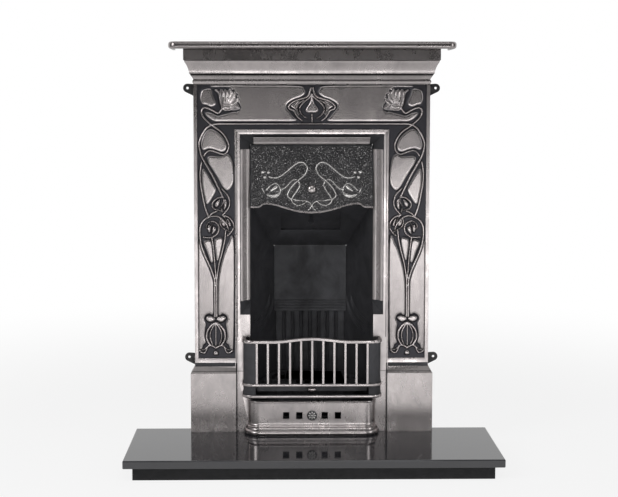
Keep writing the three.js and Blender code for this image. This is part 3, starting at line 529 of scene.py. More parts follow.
# %% Canopy iron and knob iron
def blackened_iron(name, bright, rough_low, rough_high, painted_glints=0.0):
    """Black graphite finish: crests rubbed bright by a mask, ground left black, with painted glints on it."""
    material, tree, shader = new_material(name)
    clouds = effect(tree, cloud_group, {"Scale": 16.0, "Stretch": 0.9, "Contrast": 1.8}).outputs[0]
    skin = effect(tree, sand_group, {"Grain": 1700.0, "Pits": 420.0}).outputs[0]
    rubbed = vertex_mask(tree, "polish")
    ground = mix_color(tree, clouds, (0.034, 0.033, 0.036, 1), (0.085, 0.082, 0.085, 1))
    place = object_place(tree)
    glint_cells = node(tree, "ShaderNodeTexVoronoi", {"Vector": place, "Scale": 260.0}).outputs["Color"]
    pick = node(tree, "ShaderNodeSeparateColor", {0: glint_cells}).outputs[0]
    # Painted glints: random cells of the ground are lighter, standing in for sparkle on the stippled iron.
    ground = mix_color(tree, ramp(tree, pick, 0.4, 1.0, 0.05, painted_glints), ground, (0.4, 0.39, 0.39, 1))
    color = mix_color(tree, rubbed, ground, bright)
    rough = ramp(tree, rubbed, 0.0, 1.0, rough_low, rough_high)
    wire(tree, shader, Base_Color=color, Roughness=rough, Metallic=0.85, Normal=bump(tree, skin, 0.3, 0.0006))
    return material


materials["canopy_iron"] = blackened_iron("canopy_iron", (0.68, 0.66, 0.645, 1), 0.36, 0.24)
materials["stipple_iron"] = blackened_iron("stipple_iron", (0.5, 0.49, 0.48, 1), 0.24, 0.24, painted_glints=0.85)

material, tree, shader = new_material("knob_iron")
clouds = effect(tree, cloud_group, {"Scale": 60.0, "Stretch": 1.0, "Contrast": 2.0}).outputs[0]
# Painted shade and black in the hollows: the knob's corners and creases are darkened towards black.
corners = effect(tree, hollow_black_and_shade_group, {"Reach": 0.006, "Strength": 1.0}).outputs[0]
color = mix_color(tree, clouds, (0.3, 0.29, 0.285, 1), (0.6, 0.585, 0.575, 1))
color = mix_color(tree, corners, color, IRON["black"])
wire(tree, shader, Base_Color=color, Roughness=ramp(tree, clouds, 0.1, 0.9, 0.4, 0.26), Metallic=1.0)
materials["knob_iron"] = material
print("materials:", sorted(materials))

# %% [markdown]
# ## Castings with softened edges
# Sand castings have no sharp edges. Each CAD node is copied, its loose triangles are merged into clean
# faces, and a Bevel modifier rounds the edges that meet at an angle. The copy stands for the node and rides
# on its body. Where one casting has two finishes, such as front bars that are polished only on the rails,
# the faces are shared out between two materials by a short rule.

# %% Finish a casting
SLOT_OF = {part["node"]: part["material_slot"] for part in frame["record"]["subparts"]}
MERGE = 0.00002
FLAT = math.radians(0.6)


def body_of(node_name):
    return next(body for body, nodes in frame["record"]["behaviour"]["bodies"].items() if node_name in nodes)


def declare(piece, slot, body, *nodes):
    """Rides on the body and hides the nodes that the piece stands for; slot is not used."""
    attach(piece, body)
    if nodes:
        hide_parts(*nodes)


def mesh_object(name, mesh, *finishes):
    mesh.materials.clear()
    for finish in finishes:
        mesh.materials.append(finish)
    piece = bpy.data.objects.new(name, mesh)
    bpy.context.scene.collection.objects.link(piece)
    return piece


def shade(mesh, angle):
    """Smooth shading that keeps edges sharper than the angle, in degrees."""
    for face in mesh.polygons:
        face.use_smooth = True
    mesh.set_sharp_from_angle(angle=math.radians(angle))


def merged_copy(node_name):
    """A copy of a node's mesh with its triangles joined into whole flat faces."""
    mesh = frame["nodes"][node_name].data.copy()
    shape = bmesh.new()
    shape.from_mesh(mesh)
    bmesh.ops.remove_doubles(shape, verts=shape.verts, dist=MERGE)
    bmesh.ops.dissolve_limit(shape, angle_limit=FLAT, verts=shape.verts, edges=shape.edges)
    shape.to_mesh(mesh)
    shape.free()
    return mesh


def measured(point):
    """Millimetres right of the middle, behind the wall plane and above the hearth: the reverse of `at`."""
    return point.x / MM, (point.y - WALL) / MM, (point.z - HEARTH_TOP) / MM


def finished(node_name, width, segments=2, angle=32, finish=None, second=None, rule=None):
    """The node's shape with edges rounded by millimetres; rule picks the faces of the second finish."""
    slot = SLOT_OF[node_name]
    mesh = merged_copy(node_name)
    mesh.name = node_name + "_finished"
    finishes = [materials[finish or slot]] + ([materials[second]] if second else [])
    piece = mesh_object(mesh.name, mesh, *finishes)
    shade(mesh, angle)
    if rule:
        for face in mesh.polygons:
            face.material_index = int(rule(*measured(face.center), face.normal))
    bevel = piece.modifiers.new("softened_edges", "BEVEL")
    bevel.width = width * MM
    bevel.segments = segments
    bevel.limit_method = "ANGLE"
    bevel.angle_limit = math.radians(angle)
    bevel.miter_outer = "MITER_ARC"
    declare(piece, slot, body_of(node_name), node_name)
    return piece


# %% Where each finish goes
REVEAL = {"half": 247, "foot": 400, "head": 1016, "front": -43.4}
RAILS = ((133, 144), (172, 183))
TOP_RAIL = 308
CORNER_PANEL = 192


def in_reveal(x, y, z, normal):
    """The splayed faces round the fire opening, which are left black under their polished strips."""
    inside = abs(x) < REVEAL["half"] and REVEAL["foot"] < z < REVEAL["head"]
    return inside and y > REVEAL["front"] and (normal.y > -0.98 or y > -20)


def bars_polished(x, y, z, normal):
    """The noses of the rails and the fronts of the upright bars."""
    outward = normal.y < -0.4 or normal.x * x > 0.5 * abs(x)
    on_rail = any(low - 1 < z < high + 1 for low, high in RAILS) or z > TOP_RAIL
    on_bar = abs(x) < CORNER_PANEL and normal.y < -0.7 and z > RAILS[1][1]
    return (outward and (on_rail or on_bar)) or (z > TOP_RAIL and normal.z > 0.7)


def lip_polished(x, y, z, normal):
    """The wavy lip along the foot of the canopy, which stands proud of the plate."""
    return z < 796 and normal.y < -0.5 and y < canopy_front(z) - 3


# %% Finish the castings
LUG_SPOTS = ("top_left", "top_right", "bottom_left", "bottom_right")
EDGES = {
    "mantel_shelf": {"width": 4.2, "segments": 4, "finish": "shelf_iron"},
    "surround_casting": {"width": 1.1, "finish": "surround_iron", "second": "black_iron", "rule": in_reveal},
    "front_bars": {
        "width": 2.0, "segments": 3, "finish": "black_iron", "second": "polished_iron", "rule": bars_polished
    },
    "canopy": {"width": 1.2, "second": "polished_iron", "rule": lip_polished},
    **{f"fixing_lug_{spot}": {"width": 1.0, "finish": "lug_paint"} for spot in LUG_SPOTS},
    "hearth_slab": {"width": 1.6, "segments": 3},
    "hearth_front_riser": {"width": 0.8, "finish": "granite_honed"},
    "hearth_left_riser": {"width": 0.8, "finish": "granite_honed"},
    "hearth_right_riser": {"width": 0.8, "finish": "granite_honed"},
    "bottom_grate": {"width": 1.4},
    "fireback_reeded_plate": {"width": 1.5},
}
PLAIN_EDGE = {"width": 0.8, "segments": 1}
REMADE = {"ash_pan_cover", "vent_knob"}

# The canopy hangs from its rod and leans out by a few degrees, so its front is a slanted plane.
LEAN = math.radians(5)
ROD = (4, 979)
CANOPY_FRONT = -15


def canopy_front(z):
    """How far behind the wall plane the canopy's plain front is, at a height."""
    return ROD[0] + CANOPY_FRONT + (z - ROD[1]) * math.tan(LEAN)


for node_name in sorted(set(frame["nodes"]) - REMADE):
    finished(node_name, **EDGES.get(node_name, PLAIN_EDGE))
print("finished castings:", len(frame["nodes"]) - len(REMADE))

# %% [markdown]
# ## Relief of flowers and leaves
# The relief is a height field. A fine grid covers half of the surround, and the other half is its mirror
# image. Two kinds of marks are drawn on it with smooth curves through a few points: stems, which are
# rounded, and pillows, which are raised fields with soft shoulders. The black ground is what is left between
# them. A grid was chosen over loose meshes because in a real casting stem, leaf and ground are one skin.


# %% A smooth curve through points
def smooth_line(points, closed=False, pace=2.0):
    """Catmull-Rom curve through the points, as an array of points about `pace` millimetres apart."""
    knots = [np.array(p, float) for p in points]
    ring = [2 * knots[0] - knots[1], *knots, 2 * knots[-1] - knots[-2]]
    if closed:
        ring = [knots[-1], *knots, knots[0], knots[1]]
    line = []
    for a, b, c, d in zip(ring, ring[1:], ring[2:], ring[3:]):
        count = max(2, int(np.linalg.norm(c - b) / pace))
        t = (np.arange(count) / count)[:, None]
        line.append(
            0.5 * (2 * b + (c - a) * t + (2 * a - 5 * b + 4 * c - d) * t**2 + (3 * b - a - 3 * c + d) * t**3)
        )
    line.append((knots[0] if closed else knots[-1])[None, :])
    return np.concatenate(line)


# %% The height field
class ReliefField:
    """A regular grid of heights, in millimetres, on which stems and pillows are drawn."""

    def __init__(self, x_range, z_range, step=1.0):
        self.origin, self.step = np.array([x_range[0], z_range[0]], float), step
        self.x = np.arange(x_range[0], x_range[1] + step, step)
        self.z = np.arange(z_range[0], z_range[1] + step, step)
        shape = (len(self.x), len(self.z))
        self.pillow, self.stem, self.clear = np.zeros(shape), np.zeros(shape), np.full(shape, 1e6)

    def window(self, points, reach):
        low = np.floor((points.min(0) - reach - self.origin) / self.step).astype(int)
        high = np.ceil((points.max(0) + reach - self.origin) / self.step).astype(int) + 1
        low, high = np.maximum(low, 0), np.maximum(high, 0)
        return slice(low[0], high[0]), slice(low[1], high[1])

    def nearest(self, line, reach):
        """Distance to the line and how far along it, from 0 to 1, near the line."""
        distance, along = np.full(self.pillow.shape, 1e6), np.zeros(self.pillow.shape)
        count = len(line) - 1
        for i, (a, b) in enumerate(zip(line, line[1:])):
            view = self.window(np.array([a, b]), reach)
            px, pz = self.x[view[0]][:, None] - a[0], self.z[view[1]][None, :] - a[1]
            dx, dz = b - a
            t = np.clip((px * dx + pz * dz) / max(dx * dx + dz * dz, 1e-9), 0, 1)
            away = np.hypot(px - t * dx, pz - t * dz)
            closer = away < distance[view]
            distance[view] = np.where(closer, away, distance[view])
            along[view] = np.where(closer, (i + t) / count, along[view])
        return distance, along

    def draw_stem(self, points, width=3.2, tip=None, height=5.2, foot=1.6, moat=1.7, closed=False):
        """A rounded stem; tip is its half width at the far end."""
        line = smooth_line(points, closed)
        distance, along = self.nearest(line, 12)
        radius = width + ((width if tip is None else tip) - width) * along
        inside = np.clip(1 - (distance / radius) ** 2.4, 0, None)
        crown = foot + height * np.sqrt(inside) * (0.55 + 0.45 * radius / width)
        self.stem = np.maximum(self.stem, np.where(distance < radius, crown, 0))
        self.clear = np.minimum(self.clear, np.clip(distance - radius, 0, None) / moat)

    def draw_pillow(self, points, height=4.4, shoulder=9.0, petal=False, grow=0.0):
        """A raised field with soft shoulders, widened by grow; a petal keeps its own moat, as a stem does."""
        line = smooth_line(points, closed=True)
        reach = 3 + grow
        distance, _ = self.nearest(line, shoulder + reach)
        view = self.window(line, reach)
        px, pz = self.x[view[0]][:, None], self.z[view[1]][None, :]
        inside = np.zeros(distance[view].shape, bool)
        for a, b in zip(line, line[1:]):
            if a[1] != b[1]:
                crossing = (a[1] > pz) != (b[1] > pz)
                inside ^= crossing & (px < (b[0] - a[0]) * (pz - a[1]) / (b[1] - a[1]) + a[0])
        depth = np.clip((np.where(inside, distance[view], -distance[view]) + grow) / shoulder, 0, 1)
        rise = height * (1 - (1 - depth) ** 2) ** 0.8
        target = self.stem if petal else self.pillow
        target[view] = np.maximum(target[view], rise)
        if petal:
            self.clear[view] = np.minimum(self.clear[view], np.where(inside, 0, distance[view] / 2.4))

    def height(self):
        """Pillows fall away beside every stem, which leaves a gap along it; its dark line is also painted, as
        shade.
        """
        moat = np.clip(self.clear, 0, 1)
        moat = moat * moat * (3 - 2 * moat)
        return np.maximum(self.pillow * moat, self.stem)

    def moat(self, reach=1.0):
        """1 in the dark line beside a stem, 0 on it and away from it: black ground and painted shade."""
        return np.where(self.stem > 0.5, 0.0, np.exp(-((self.clear / reach) ** 2)))

    def sample(self, heights, x, z):
        """Heights at any places, between the points of the grid."""
        u = np.clip((x - self.origin[0]) / self.step, 0, len(self.x) - 1.001)
        v = np.clip((z - self.origin[1]) / self.step, 0, len(self.z) - 1.001)
        i, j = u.astype(int), v.astype(int)
        s, t = u - i, v - j
        near = heights[i, j] * (1 - t) + heights[i, j + 1] * t
        far = heights[i + 1, j] * (1 - t) + heights[i + 1, j + 1] * t
        return near * (1 - s) + far * s


def mirrored(points, middle):
    return [(2 * middle - x, z) for x, z in points]


# %% [markdown]
# The right-hand jamb, in millimetres from the middle of the fireplace and above the hearth. A flower leans
# in under the cornice. Its stem makes an S, a second stem rises out of the frieze's bead, and three buds
# stand on crossing stems over one long stem that ends in a bulb with scrolled leaves.

# %% Stems of the jamb
LONG_STEM = 329
JAMB_STEMS = [
    ([(306, 1108), (318, 1097), (336, 1106), (352, 1113), (366, 1115), (374, 1103), (370, 1087),
     (356, 1071), (336, 1054), (310, 1036), (293, 1016), (283, 991), (284, 973), (293, 961), (305, 958),
     (328, 966), (345, 970), (358, 964), (366, 952)], 3.4, 2.6),
    ([(300, 1060.5), (320, 1060.5), (340, 1057), (360, 1043), (377, 1014), (383, 988), (376, 955),
     (360, 924), (341, 891), (326, 861), (314, 835), (304, 814)], 3.6, 2.8),
    ([(375, 930), (380, 895), (379, 860), (373, 822), (363, 775), (351, 743)], 3.4, 3.2),
    ([(351, 743), (368, 732), (380, 712), (382, 682), (376, 643), (362, 605), (345, 567), (334, 533),
     (330, 507)], 3.3, 3.0),
    ([(349, 744), (328, 747), (309, 739), (292, 720), (284, 700)], 2.8, 2.2),
    ([(341, 671), (337, 643), (333, 601), (330, 562), (328, 533)], 2.6, 2.6),
    ([(294, 695), (298, 661), (307, 622), (318, 579), (324, 537), (326, 507)], 3.0, 2.6),
    ([(332.6, 535), (332.6, 470), (332.4, 400)], 2.7, 2.9),
    ([(325.4, 535), (325.4, 470), (325.6, 400)], 2.7, 2.9),
    ([(324, 763), (338, 757), (351, 745)], 3.0, 2.4),
]
BUD_LINES = [
    ([(302, 812), (319, 809), (334, 798), (340, 785), (334, 772), (321, 768), (309, 764)], 2.6, 1.8),
    ([(306, 840), (288, 820), (280, 797), (283, 776), (296, 759), (305, 750)], 2.7, 2.0),
    ([(302, 812), (301, 796), (309, 779), (305, 760)], 1.9, 1.5),
    ([(316, 704), (322, 720), (338, 729), (354, 724), (361, 708), (352, 700)], 2.3, 1.6),
    ([(352, 700), (343, 714), (334, 728)], 1.7, 1.3),
    ([(316, 704), (321, 688), (334, 677), (348, 673), (370, 674)], 2.4, 2.6),
    ([(304, 749), (284, 743), (270, 727), (267, 707), (276, 690), (289, 678)], 2.6, 2.0),
    ([(311, 738), (313, 722), (304, 706), (288, 697), (276, 690)], 2.2, 1.6),
    ([(299, 746), (291, 728), (289, 708)], 1.8, 1.2),
]
BULB_RIBS = [
    ([(332, 378), (345, 369), (358, 350), (361, 329), (356, 313), (349, 302)], 3.7, 3.2),
    ([(330, 376), (341, 362), (348, 344), (348, 324), (341, 305)], 2.5, 2.3),
    ([(329, 291), (338, 297), (348, 300), (358, 295), (362, 284), (369, 274), (378, 276), (386, 282)],
     3.6, 2.4),
    ([(362, 292), (370, 285), (379, 285), (386, 282)], 2.2, 1.3),
]
CAP_LEAF = [(330, 390), (338, 383), (350, 380), (361, 388), (364, 397), (354, 403), (341, 401), (333, 396)]
FLOWER_RIBS = [
    ([(322, 1175), (312, 1163), (311, 1141), (304, 1120), (299, 1114)], 2.6, 3.2),
    ([(278, 1116), (267, 1127), (257, 1120), (244, 1114)], 2.3, 1.8),
    ([(304, 1113), (291, 1107), (277, 1108), (266, 1117)], 2.8, 2.0),
    ([(297, 1125), (300, 1140), (303, 1152)], 2.2, 1.2),
]

# %% Petals and pillows of the jamb
PETALS = [
    [(312, 803), (322, 799), (331, 787), (327, 777), (317, 782)],
    [(297, 806), (289, 797), (290, 779), (299, 768), (301, 784)],
    [(353, 717), (346, 712), (345, 698), (350, 689), (356, 703)],
    [(336, 712), (326, 704), (330, 692), (341, 684), (341, 699)],
    [(308, 734), (299, 728), (294, 714), (302, 711), (309, 722)],
    [(289, 739), (281, 731), (275, 714), (283, 711), (287, 726)],
]
BLOOM = [
    (331, 1174), (319, 1160), (315, 1135), (304, 1112), (284, 1105), (264, 1104), (243, 1109), (245, 1126),
    (251, 1133), (246, 1143), (256, 1151), (252, 1160), (262, 1165), (263, 1176), (272, 1172), (277, 1183),
    (286, 1174), (293, 1182), (300, 1174), (308, 1182), (315, 1171), (324, 1180),
]
BLOOM_PETALS = [
    [(306, 1179), (300, 1167), (302, 1150), (298, 1132), (293, 1134), (294, 1150), (297, 1167)],
    [(293, 1177), (287, 1166), (291, 1148), (292, 1130), (286, 1134), (282, 1150), (284, 1166)],
    [(277, 1179), (274, 1164), (281, 1148), (286, 1131), (279, 1134), (272, 1147), (268, 1163)],
    [(263, 1170), (264, 1156), (273, 1143), (281, 1129), (273, 1131), (264, 1142), (257, 1156)],
    [(251, 1151), (255, 1141), (267, 1133), (276, 1126), (267, 1126), (255, 1131), (247, 1141)],
    [(303, 1120), (292, 1112), (277, 1112), (268, 1118), (276, 1124), (291, 1125)],
]
PILLOWS = [
    [(368, 1173), (344, 1177), (338, 1158), (327, 1130), (340, 1121), (356, 1127), (370, 1131), (375, 1150)],
    [(345, 1041), (361, 1029), (371, 1006), (374, 985), (367, 974), (350, 979), (328, 975), (308, 968),
     (295, 973), (292, 990), (301, 1011), (321, 1031)],
    [(348, 949), (310, 948), (286, 956), (272, 930), (268, 868), (284, 838), (300, 846), (318, 878),
     (336, 908), (350, 932)],
    [(370, 905), (357, 892), (341, 863), (329, 838), (340, 812), (357, 790), (366, 822), (372, 860)],
    [(387, 640), (373, 618), (358, 583), (346, 549), (339, 520), (338, 470), (339, 413), (352, 413),
     (366, 406), (371, 392), (365, 376), (368, 358), (370, 332), (366, 312), (374, 304), (386, 304)],
    [(268, 652), (284, 650), (296, 622), (307, 587), (315, 550), (319, 510), (319, 413), (306, 413),
     (292, 406), (287, 392), (293, 376), (290, 358), (288, 332), (292, 312), (284, 304), (271, 304)],
    [(367, 655), (357, 628), (344, 590), (339, 600), (343, 650), (352, 664)],
    [(325, 668), (308, 668), (313, 630), (322, 596), (327, 620), (331, 655)],
]

# %% The frieze
FRIEZE_STEMS = [
    ([(0, 1060.5), (150, 1060.5), (302, 1060.5)], 2.4, 3.2),
    ([(3, 1182), (9, 1162), (19, 1151), (36, 1145), (56, 1139), (72, 1129), (79, 1117), (72, 1109),
     (62, 1106), (53, 1091), (44, 1080), (33, 1072)], 3.4, 2.2),
    ([(1, 1161), (10, 1148), (25, 1136), (37, 1123), (42, 1110), (38, 1098), (30, 1088), (17, 1080)],
     2.7, 1.8),
    ([(28, 1140), (43, 1131), (53, 1119), (50, 1107), (42, 1094)], 2.3, 1.6),
    ([(0, 1092), (0.4, 1076), (0, 1062)], 2.6, 1.8),
]
SPADE = [(0, 1157), (7, 1132), (21, 1108), (12, 1099), (0, 1100), (-12, 1099), (-21, 1108), (-7, 1132)]
FRIEZE_PILLOW = [
    (42, 1186), (29, 1178), (25, 1165), (40, 1153), (60, 1146), (83, 1132), (88, 1116), (78, 1101),
    (65, 1084), (59, 1072), (150, 1071), (230, 1071), (300, 1071), (330, 1072), (352, 1086), (358, 1097),
    (340, 1095), (320, 1086), (302, 1090), (284, 1094), (262, 1100), (252, 1098), (250, 1130), (256, 1150),
    (268, 1170), (280, 1186), (320, 1187), (340, 1188), (300, 1189), (200, 1188), (120, 1188),
]
HEART_PETAL = [
    (47, 1140), (66, 1130), (73, 1119), (60, 1109), (52, 1094), (44, 1085), (42, 1098), (46, 1112),
    (41, 1125), (31, 1135)
]

# %% Draw the surround's field
PANEL = {"inner": 262.5, "outer": 389.5, "foot": 256, "head": 1193, "frieze_foot": 1042, "sunk": -34}
surround_field = ReliefField((0, PANEL["outer"] + 1), (PANEL["foot"], PANEL["head"]))
for points in (*PILLOWS, FRIEZE_PILLOW):
    surround_field.draw_pillow(points, height=3.9, shoulder=10.0, grow=5.5)
surround_field.draw_pillow(BLOOM, height=2.4, shoulder=4, petal=True)
for points in BLOOM_PETALS:
    surround_field.draw_pillow(points, height=5.6, shoulder=4, petal=True, grow=1.0)
for points in (*PETALS, CAP_LEAF, mirrored(CAP_LEAF, LONG_STEM)):
    surround_field.draw_pillow(points, height=5.4, shoulder=6, petal=True)
surround_field.draw_pillow(SPADE, height=5.8, shoulder=7, petal=True, grow=2.0)
surround_field.draw_pillow(HEART_PETAL, height=3.8, shoulder=6)
for points, width, tip in (*JAMB_STEMS, *FRIEZE_STEMS, *BULB_RIBS):
    surround_field.draw_stem(points, width, tip)
for points, width, tip in BULB_RIBS:
    surround_field.draw_stem(mirrored(points, LONG_STEM), width, tip)
surround_field.draw_stem([(LONG_STEM, 380), (LONG_STEM, 300)], 2.2, 2.0, moat=1.2)
surround_field.draw_stem([(LONG_STEM - 0.5, 273), (LONG_STEM + 0.5, 273)], 8.0, 8.0)
for points, width, tip in (*BUD_LINES, *FLOWER_RIBS):
    surround_field.draw_stem(points, width, tip, height=4.0, foot=2.4, moat=1.6)
surround_heights = surround_field.height()
surround_gap_darkening = surround_field.moat()
print("surround relief up to", round(float(surround_heights.max()), 1), "mm over its ground")


# %% A closed mesh
def closed_mesh(name, vertices, faces):
    """A mesh from points and faces, with its normals turned outward."""
    mesh = bpy.data.meshes.new(name)
    mesh.from_pydata(vertices, [], faces)
    shape = bmesh.new()
    shape.from_mesh(mesh)
    bmesh.ops.recalc_face_normals(shape, faces=shape.faces)
    shape.to_mesh(mesh)
    shape.free()
    return mesh


# %% A closed sheet of relief
def relief_sheet(name, columns, rows, place, finish, slot, body, back=-1.2):
    """A grid of columns by rows whose points and masks come from place; its back is closed."""
    wide, tall = len(columns), len(rows)
    points, masks = place(columns, rows, 0.0)
    behind, _ = place(columns, rows, back)
    edge = [(i, 0) for i in range(wide)] + [(wide - 1, j) for j in range(1, tall)]
    edge += [(i, tall - 1) for i in range(wide - 2, -1, -1)] + [(0, j) for j in range(tall - 2, 0, -1)]
    front = np.arange(wide * tall).reshape(wide, tall)
    rim = [behind[i, j] for i, j in edge]
    vertices = np.concatenate([points.reshape(-1, 3), np.array(rim)])
    faces = np.stack(
        [front[:-1, :-1], front[1:, :-1], front[1:, 1:], front[:-1, 1:]], -1
    ).reshape(-1, 4).tolist()
    first = wide * tall
    count = len(edge)
    for k, (i, j) in enumerate(edge):
        i2, j2 = edge[(k + 1) % count]
        faces.append([int(front[i, j]), first + k, first + (k + 1) % count, int(front[i2, j2])])
    faces.append([first + k for k in range(count - 1, -1, -1)])
    mesh = closed_mesh(name, vertices.tolist(), faces)
    shade(mesh, 70)
    for label, values in masks.items():
        mask = mesh.attributes.new(label, "FLOAT", "POINT")
        mask.data.foreach_set("value", np.concatenate([values.ravel(), np.zeros(count)]).astype(np.float32))
    piece = mesh_object(name, mesh, materials[finish])
    declare(piece, slot, body)
    print(name, "triangles", 2 * (wide - 1) * (tall - 1))
    return piece


def eased(values, low, high):
    t = np.clip((values - low) / (high - low), 0, 1)
    return t * t * (3 - 2 * t)


# %% Jamb and frieze sheets
POLISH_FROM, POLISH_TO = 1.2, 3.5
SHOULDER_POLISH = (1.9, 3.85)
RELIEF_CELL = 1.5


def surround_place(columns, rows, back):
    x, z = np.meshgrid(columns, rows, indexing="ij")
    height = surround_field.sample(surround_heights, np.abs(x), z)
    out = np.full_like(height, back) if back else height + 0.25
    y = WALL + (PANEL["sunk"] - out) * MM
    points = np.stack([x * MM, y, HEARTH_TOP + z * MM], -1)
    beside = surround_field.sample(surround_gap_darkening, np.abs(x), z)
    field = surround_field.sample((surround_field.stem < 0.5).astype(float), np.abs(x), z)
    crests, shoulders = eased(height, POLISH_FROM, POLISH_TO), eased(height, *SHOULDER_POLISH)
    return points, {"polish": crests * (1 - field) + shoulders * field, "moat": beside, "field": field}


def steps(low, high, cell=RELIEF_CELL):
    return np.linspace(low, high, int(round((high - low) / cell)) + 1)


jamb_rows = steps(PANEL["foot"], PANEL["head"])
for side, name in ((-1, "relief_jamb_left"), (1, "relief_jamb_right")):
    columns = np.sort(side * steps(PANEL["inner"], PANEL["outer"]))
    relief_sheet(name, columns, jamb_rows, surround_place, "relief_iron", "polished_iron", "fireplace_body")
frieze_columns = steps(-PANEL["inner"], PANEL["inner"])
frieze_rows = steps(PANEL["frieze_foot"], PANEL["head"])
relief_sheet(
    "relief_frieze", frieze_columns, frieze_rows, surround_place, "relief_iron", "polished_iron",
    "fireplace_body"
)

# %% [markdown]
# ## Canopy
# The canopy is a black plate with a lighter drawing: two whiplash stems with berries and buds that meet
# over a knob. The same height field draws it, laid on the leaning front of the plate down to its wavy lip.

# %% Canopy drawing
CANOPY = {"half": 206, "head": 982, "foot": 771, "crest": 784, "dip": 753, "lip": 7}
CANOPY_STEMS = [
    ([(146, 878), (127, 874), (108, 879), (88, 894), (66, 913), (46, 926), (28, 926), (17, 914), (16, 900),
     (26, 883), (46, 866), (64, 849), (78, 829), (82, 812), (72, 802)], 1.9, 1.9),
    ([(108, 833), (93, 839), (79, 853), (66, 866), (52, 869)], 1.7, 1.5),
    ([(44, 861), (41, 848), (49, 832), (61, 815), (69, 799), (61, 786), (46, 780), (29, 785), (18, 793)],
     1.7, 1.5),
    ([(64, 800), (42, 797), (20, 795), (8, 790), (1.5, 780), (6, 769), (13, 764)], 1.7, 1.6),
    ([(156, 832), (139, 849), (122, 855), (110, 843), (107, 826), (118, 811), (138, 808), (154, 817)],
     1.6, 1.4),
    ([(169, 838), (162, 822)], 1.9, 1.0),
]
CANOPY_LEAVES = [
    [(122, 850), (116, 842), (124, 834), (142, 827), (136, 838)],
    [(156, 820), (138, 817), (118, 821), (109, 829), (116, 813), (136, 809)],
    [(8, 806), (14, 800), (8, 794), (-8, 794), (-14, 800), (-8, 806)],
]
BERRIES = [(167, 894, 5.0), (148, 893, 4.6), (160, 876, 4.8)]
KNOB_HEIGHT = 836

canopy_field = ReliefField((0, 212), (740, 990), 0.75)
for points in CANOPY_LEAVES[:2]:
    canopy_field.draw_pillow(points, height=3.4, shoulder=5, petal=True)
for points, width, tip in CANOPY_STEMS:
    canopy_field.draw_stem(points, width, tip, height=2.2, foot=0.7, moat=1.5)
for x, z, radius in BERRIES:
    canopy_field.draw_stem([(x - 0.4, z), (x + 0.4, z)], radius, radius, height=3.4, foot=0.4)
knob_ring = [(19 * math.cos(a), KNOB_HEIGHT + 19 * math.sin(a)) for a in np.linspace(0, 2 * math.pi, 13)[:-1]]
canopy_field.draw_stem(knob_ring, 1.8, 1.8, height=0.9, foot=0.2, closed=True)
canopy_heights = canopy_field.height()


def canopy_edge(x):
    """Height of the canopy's lower edge: one long dip in the middle, a crest each side, and a short flat."""
    t = np.linspace(0, 1, 60)
    dip, crest, foot = CANOPY["dip"], CANOPY["crest"], CANOPY["foot"]
    spans = [
        ((0, dip), (70, dip), (109, crest - 2), (155, crest)),
        ((155, crest), (173, crest), (171, foot + 2), (183, foot + 1)),
    ]
    places = []
    for p0, p1, p2, p3 in spans:
        p = [np.array(q, float)[None, :] for q in (p0, p1, p2, p3)]
        s = t[:, None]
        places.append(
            (1 - s) ** 3 * p[0] + 3 * s * (1 - s) ** 2 * p[1] + 3 * s * s * (1 - s) * p[2] + s**3 * p[3]
        )
    curve = np.concatenate(places + [np.array([[210.0, foot]])])
    return np.interp(np.abs(x), curve[:, 0], curve[:, 1])


def canopy_place(columns, rows, back):
    x, share = np.meshgrid(columns, rows, indexing="ij")
    low = canopy_edge(x) + CANOPY["lip"]
    z = low + (CANOPY["head"] - low) * share
    height = canopy_field.sample(canopy_heights, np.abs(x), z)
    out = np.full_like(height, back) if back else height + 0.25
    back_of, up = CANOPY_FRONT - out, z - ROD[1]
    y = ROD[0] + back_of * math.cos(LEAN) + up * math.sin(LEAN)
    rise = ROD[1] + up * math.cos(LEAN) - back_of * math.sin(LEAN)
    points = np.stack([x * MM, WALL + y * MM, HEARTH_TOP + rise * MM], -1)
    return points, {"polish": eased(height, 1.2, 2.4)}


canopy_sheet = relief_sheet(
    "relief_canopy",
    steps(-CANOPY["half"], CANOPY["half"]),
    np.linspace(0, 1, 150),
    canopy_place,
    "canopy_iron",
    "black_iron",
    "canopy_body",
)

# %% [markdown]
# The ground of the canopy is stippled all over. Geometry Nodes scatter small domes on the relief sheet,
# only where the polish mask is low, with a fixed seed, and the result is kept as a plain mesh.


# %% Start a geometry tree
def geometry_tree(name, inputs):
    """A Geometry Nodes tree with named inputs; returns the tree, its input sockets and its output socket."""
    tree = bpy.data.node_groups.new(name, "GeometryNodeTree")
    tree.interface.new_socket("Geometry", in_out="INPUT", socket_type="NodeSocketGeometry")
    for label, kind in inputs:
        tree.interface.new_socket(label, in_out="INPUT", socket_type=kind)
    tree.interface.new_socket("Geometry", in_out="OUTPUT", socket_type="NodeSocketGeometry")
    return tree, tree.nodes.new("NodeGroupInput").outputs, tree.nodes.new("NodeGroupOutput").inputs


def close_tree(tree, geometry, finish, output):
    """Ends a tree as the export needs it: real geometry with its material set."""
    real = node(tree, "GeometryNodeRealizeInstances", {0: geometry}).outputs[0]
    coated = node(tree, "GeometryNodeSetMaterial", {"Geometry": real, "Material": finish}).outputs[0]
    tree.links.new(coated, output["Geometry"])


def grown(name, tree, source, finish, slot, body, replaced=(), **values):
    """Runs a tree on a source mesh and keeps the result as a plain mesh piece."""
    host = bpy.data.objects.new(name + "_host", source)
    bpy.context.scene.collection.objects.link(host)
    modifier = host.modifiers.new(name, "NODES")
    modifier.node_group = tree
    for item in tree.interface.items_tree:
        if item.item_type == "SOCKET" and item.in_out == "INPUT" and item.name in values:
            modifier[item.identifier] = values[item.name]
        if item.item_type == "SOCKET" and item.in_out == "INPUT" and item.name == "Material":
            modifier[item.identifier] = materials[finish]
    graph = bpy.context.evaluated_depsgraph_get()
    mesh = bpy.data.meshes.new_from_object(host.evaluated_get(graph))
    bpy.data.objects.remove(host)
    mesh.name = name
    piece = mesh_object(name, mesh, materials[finish])
    declare(piece, slot, body, *replaced)
    mesh.calc_loop_triangles()
    print(name, "triangles", len(mesh.loop_triangles))
    return piece


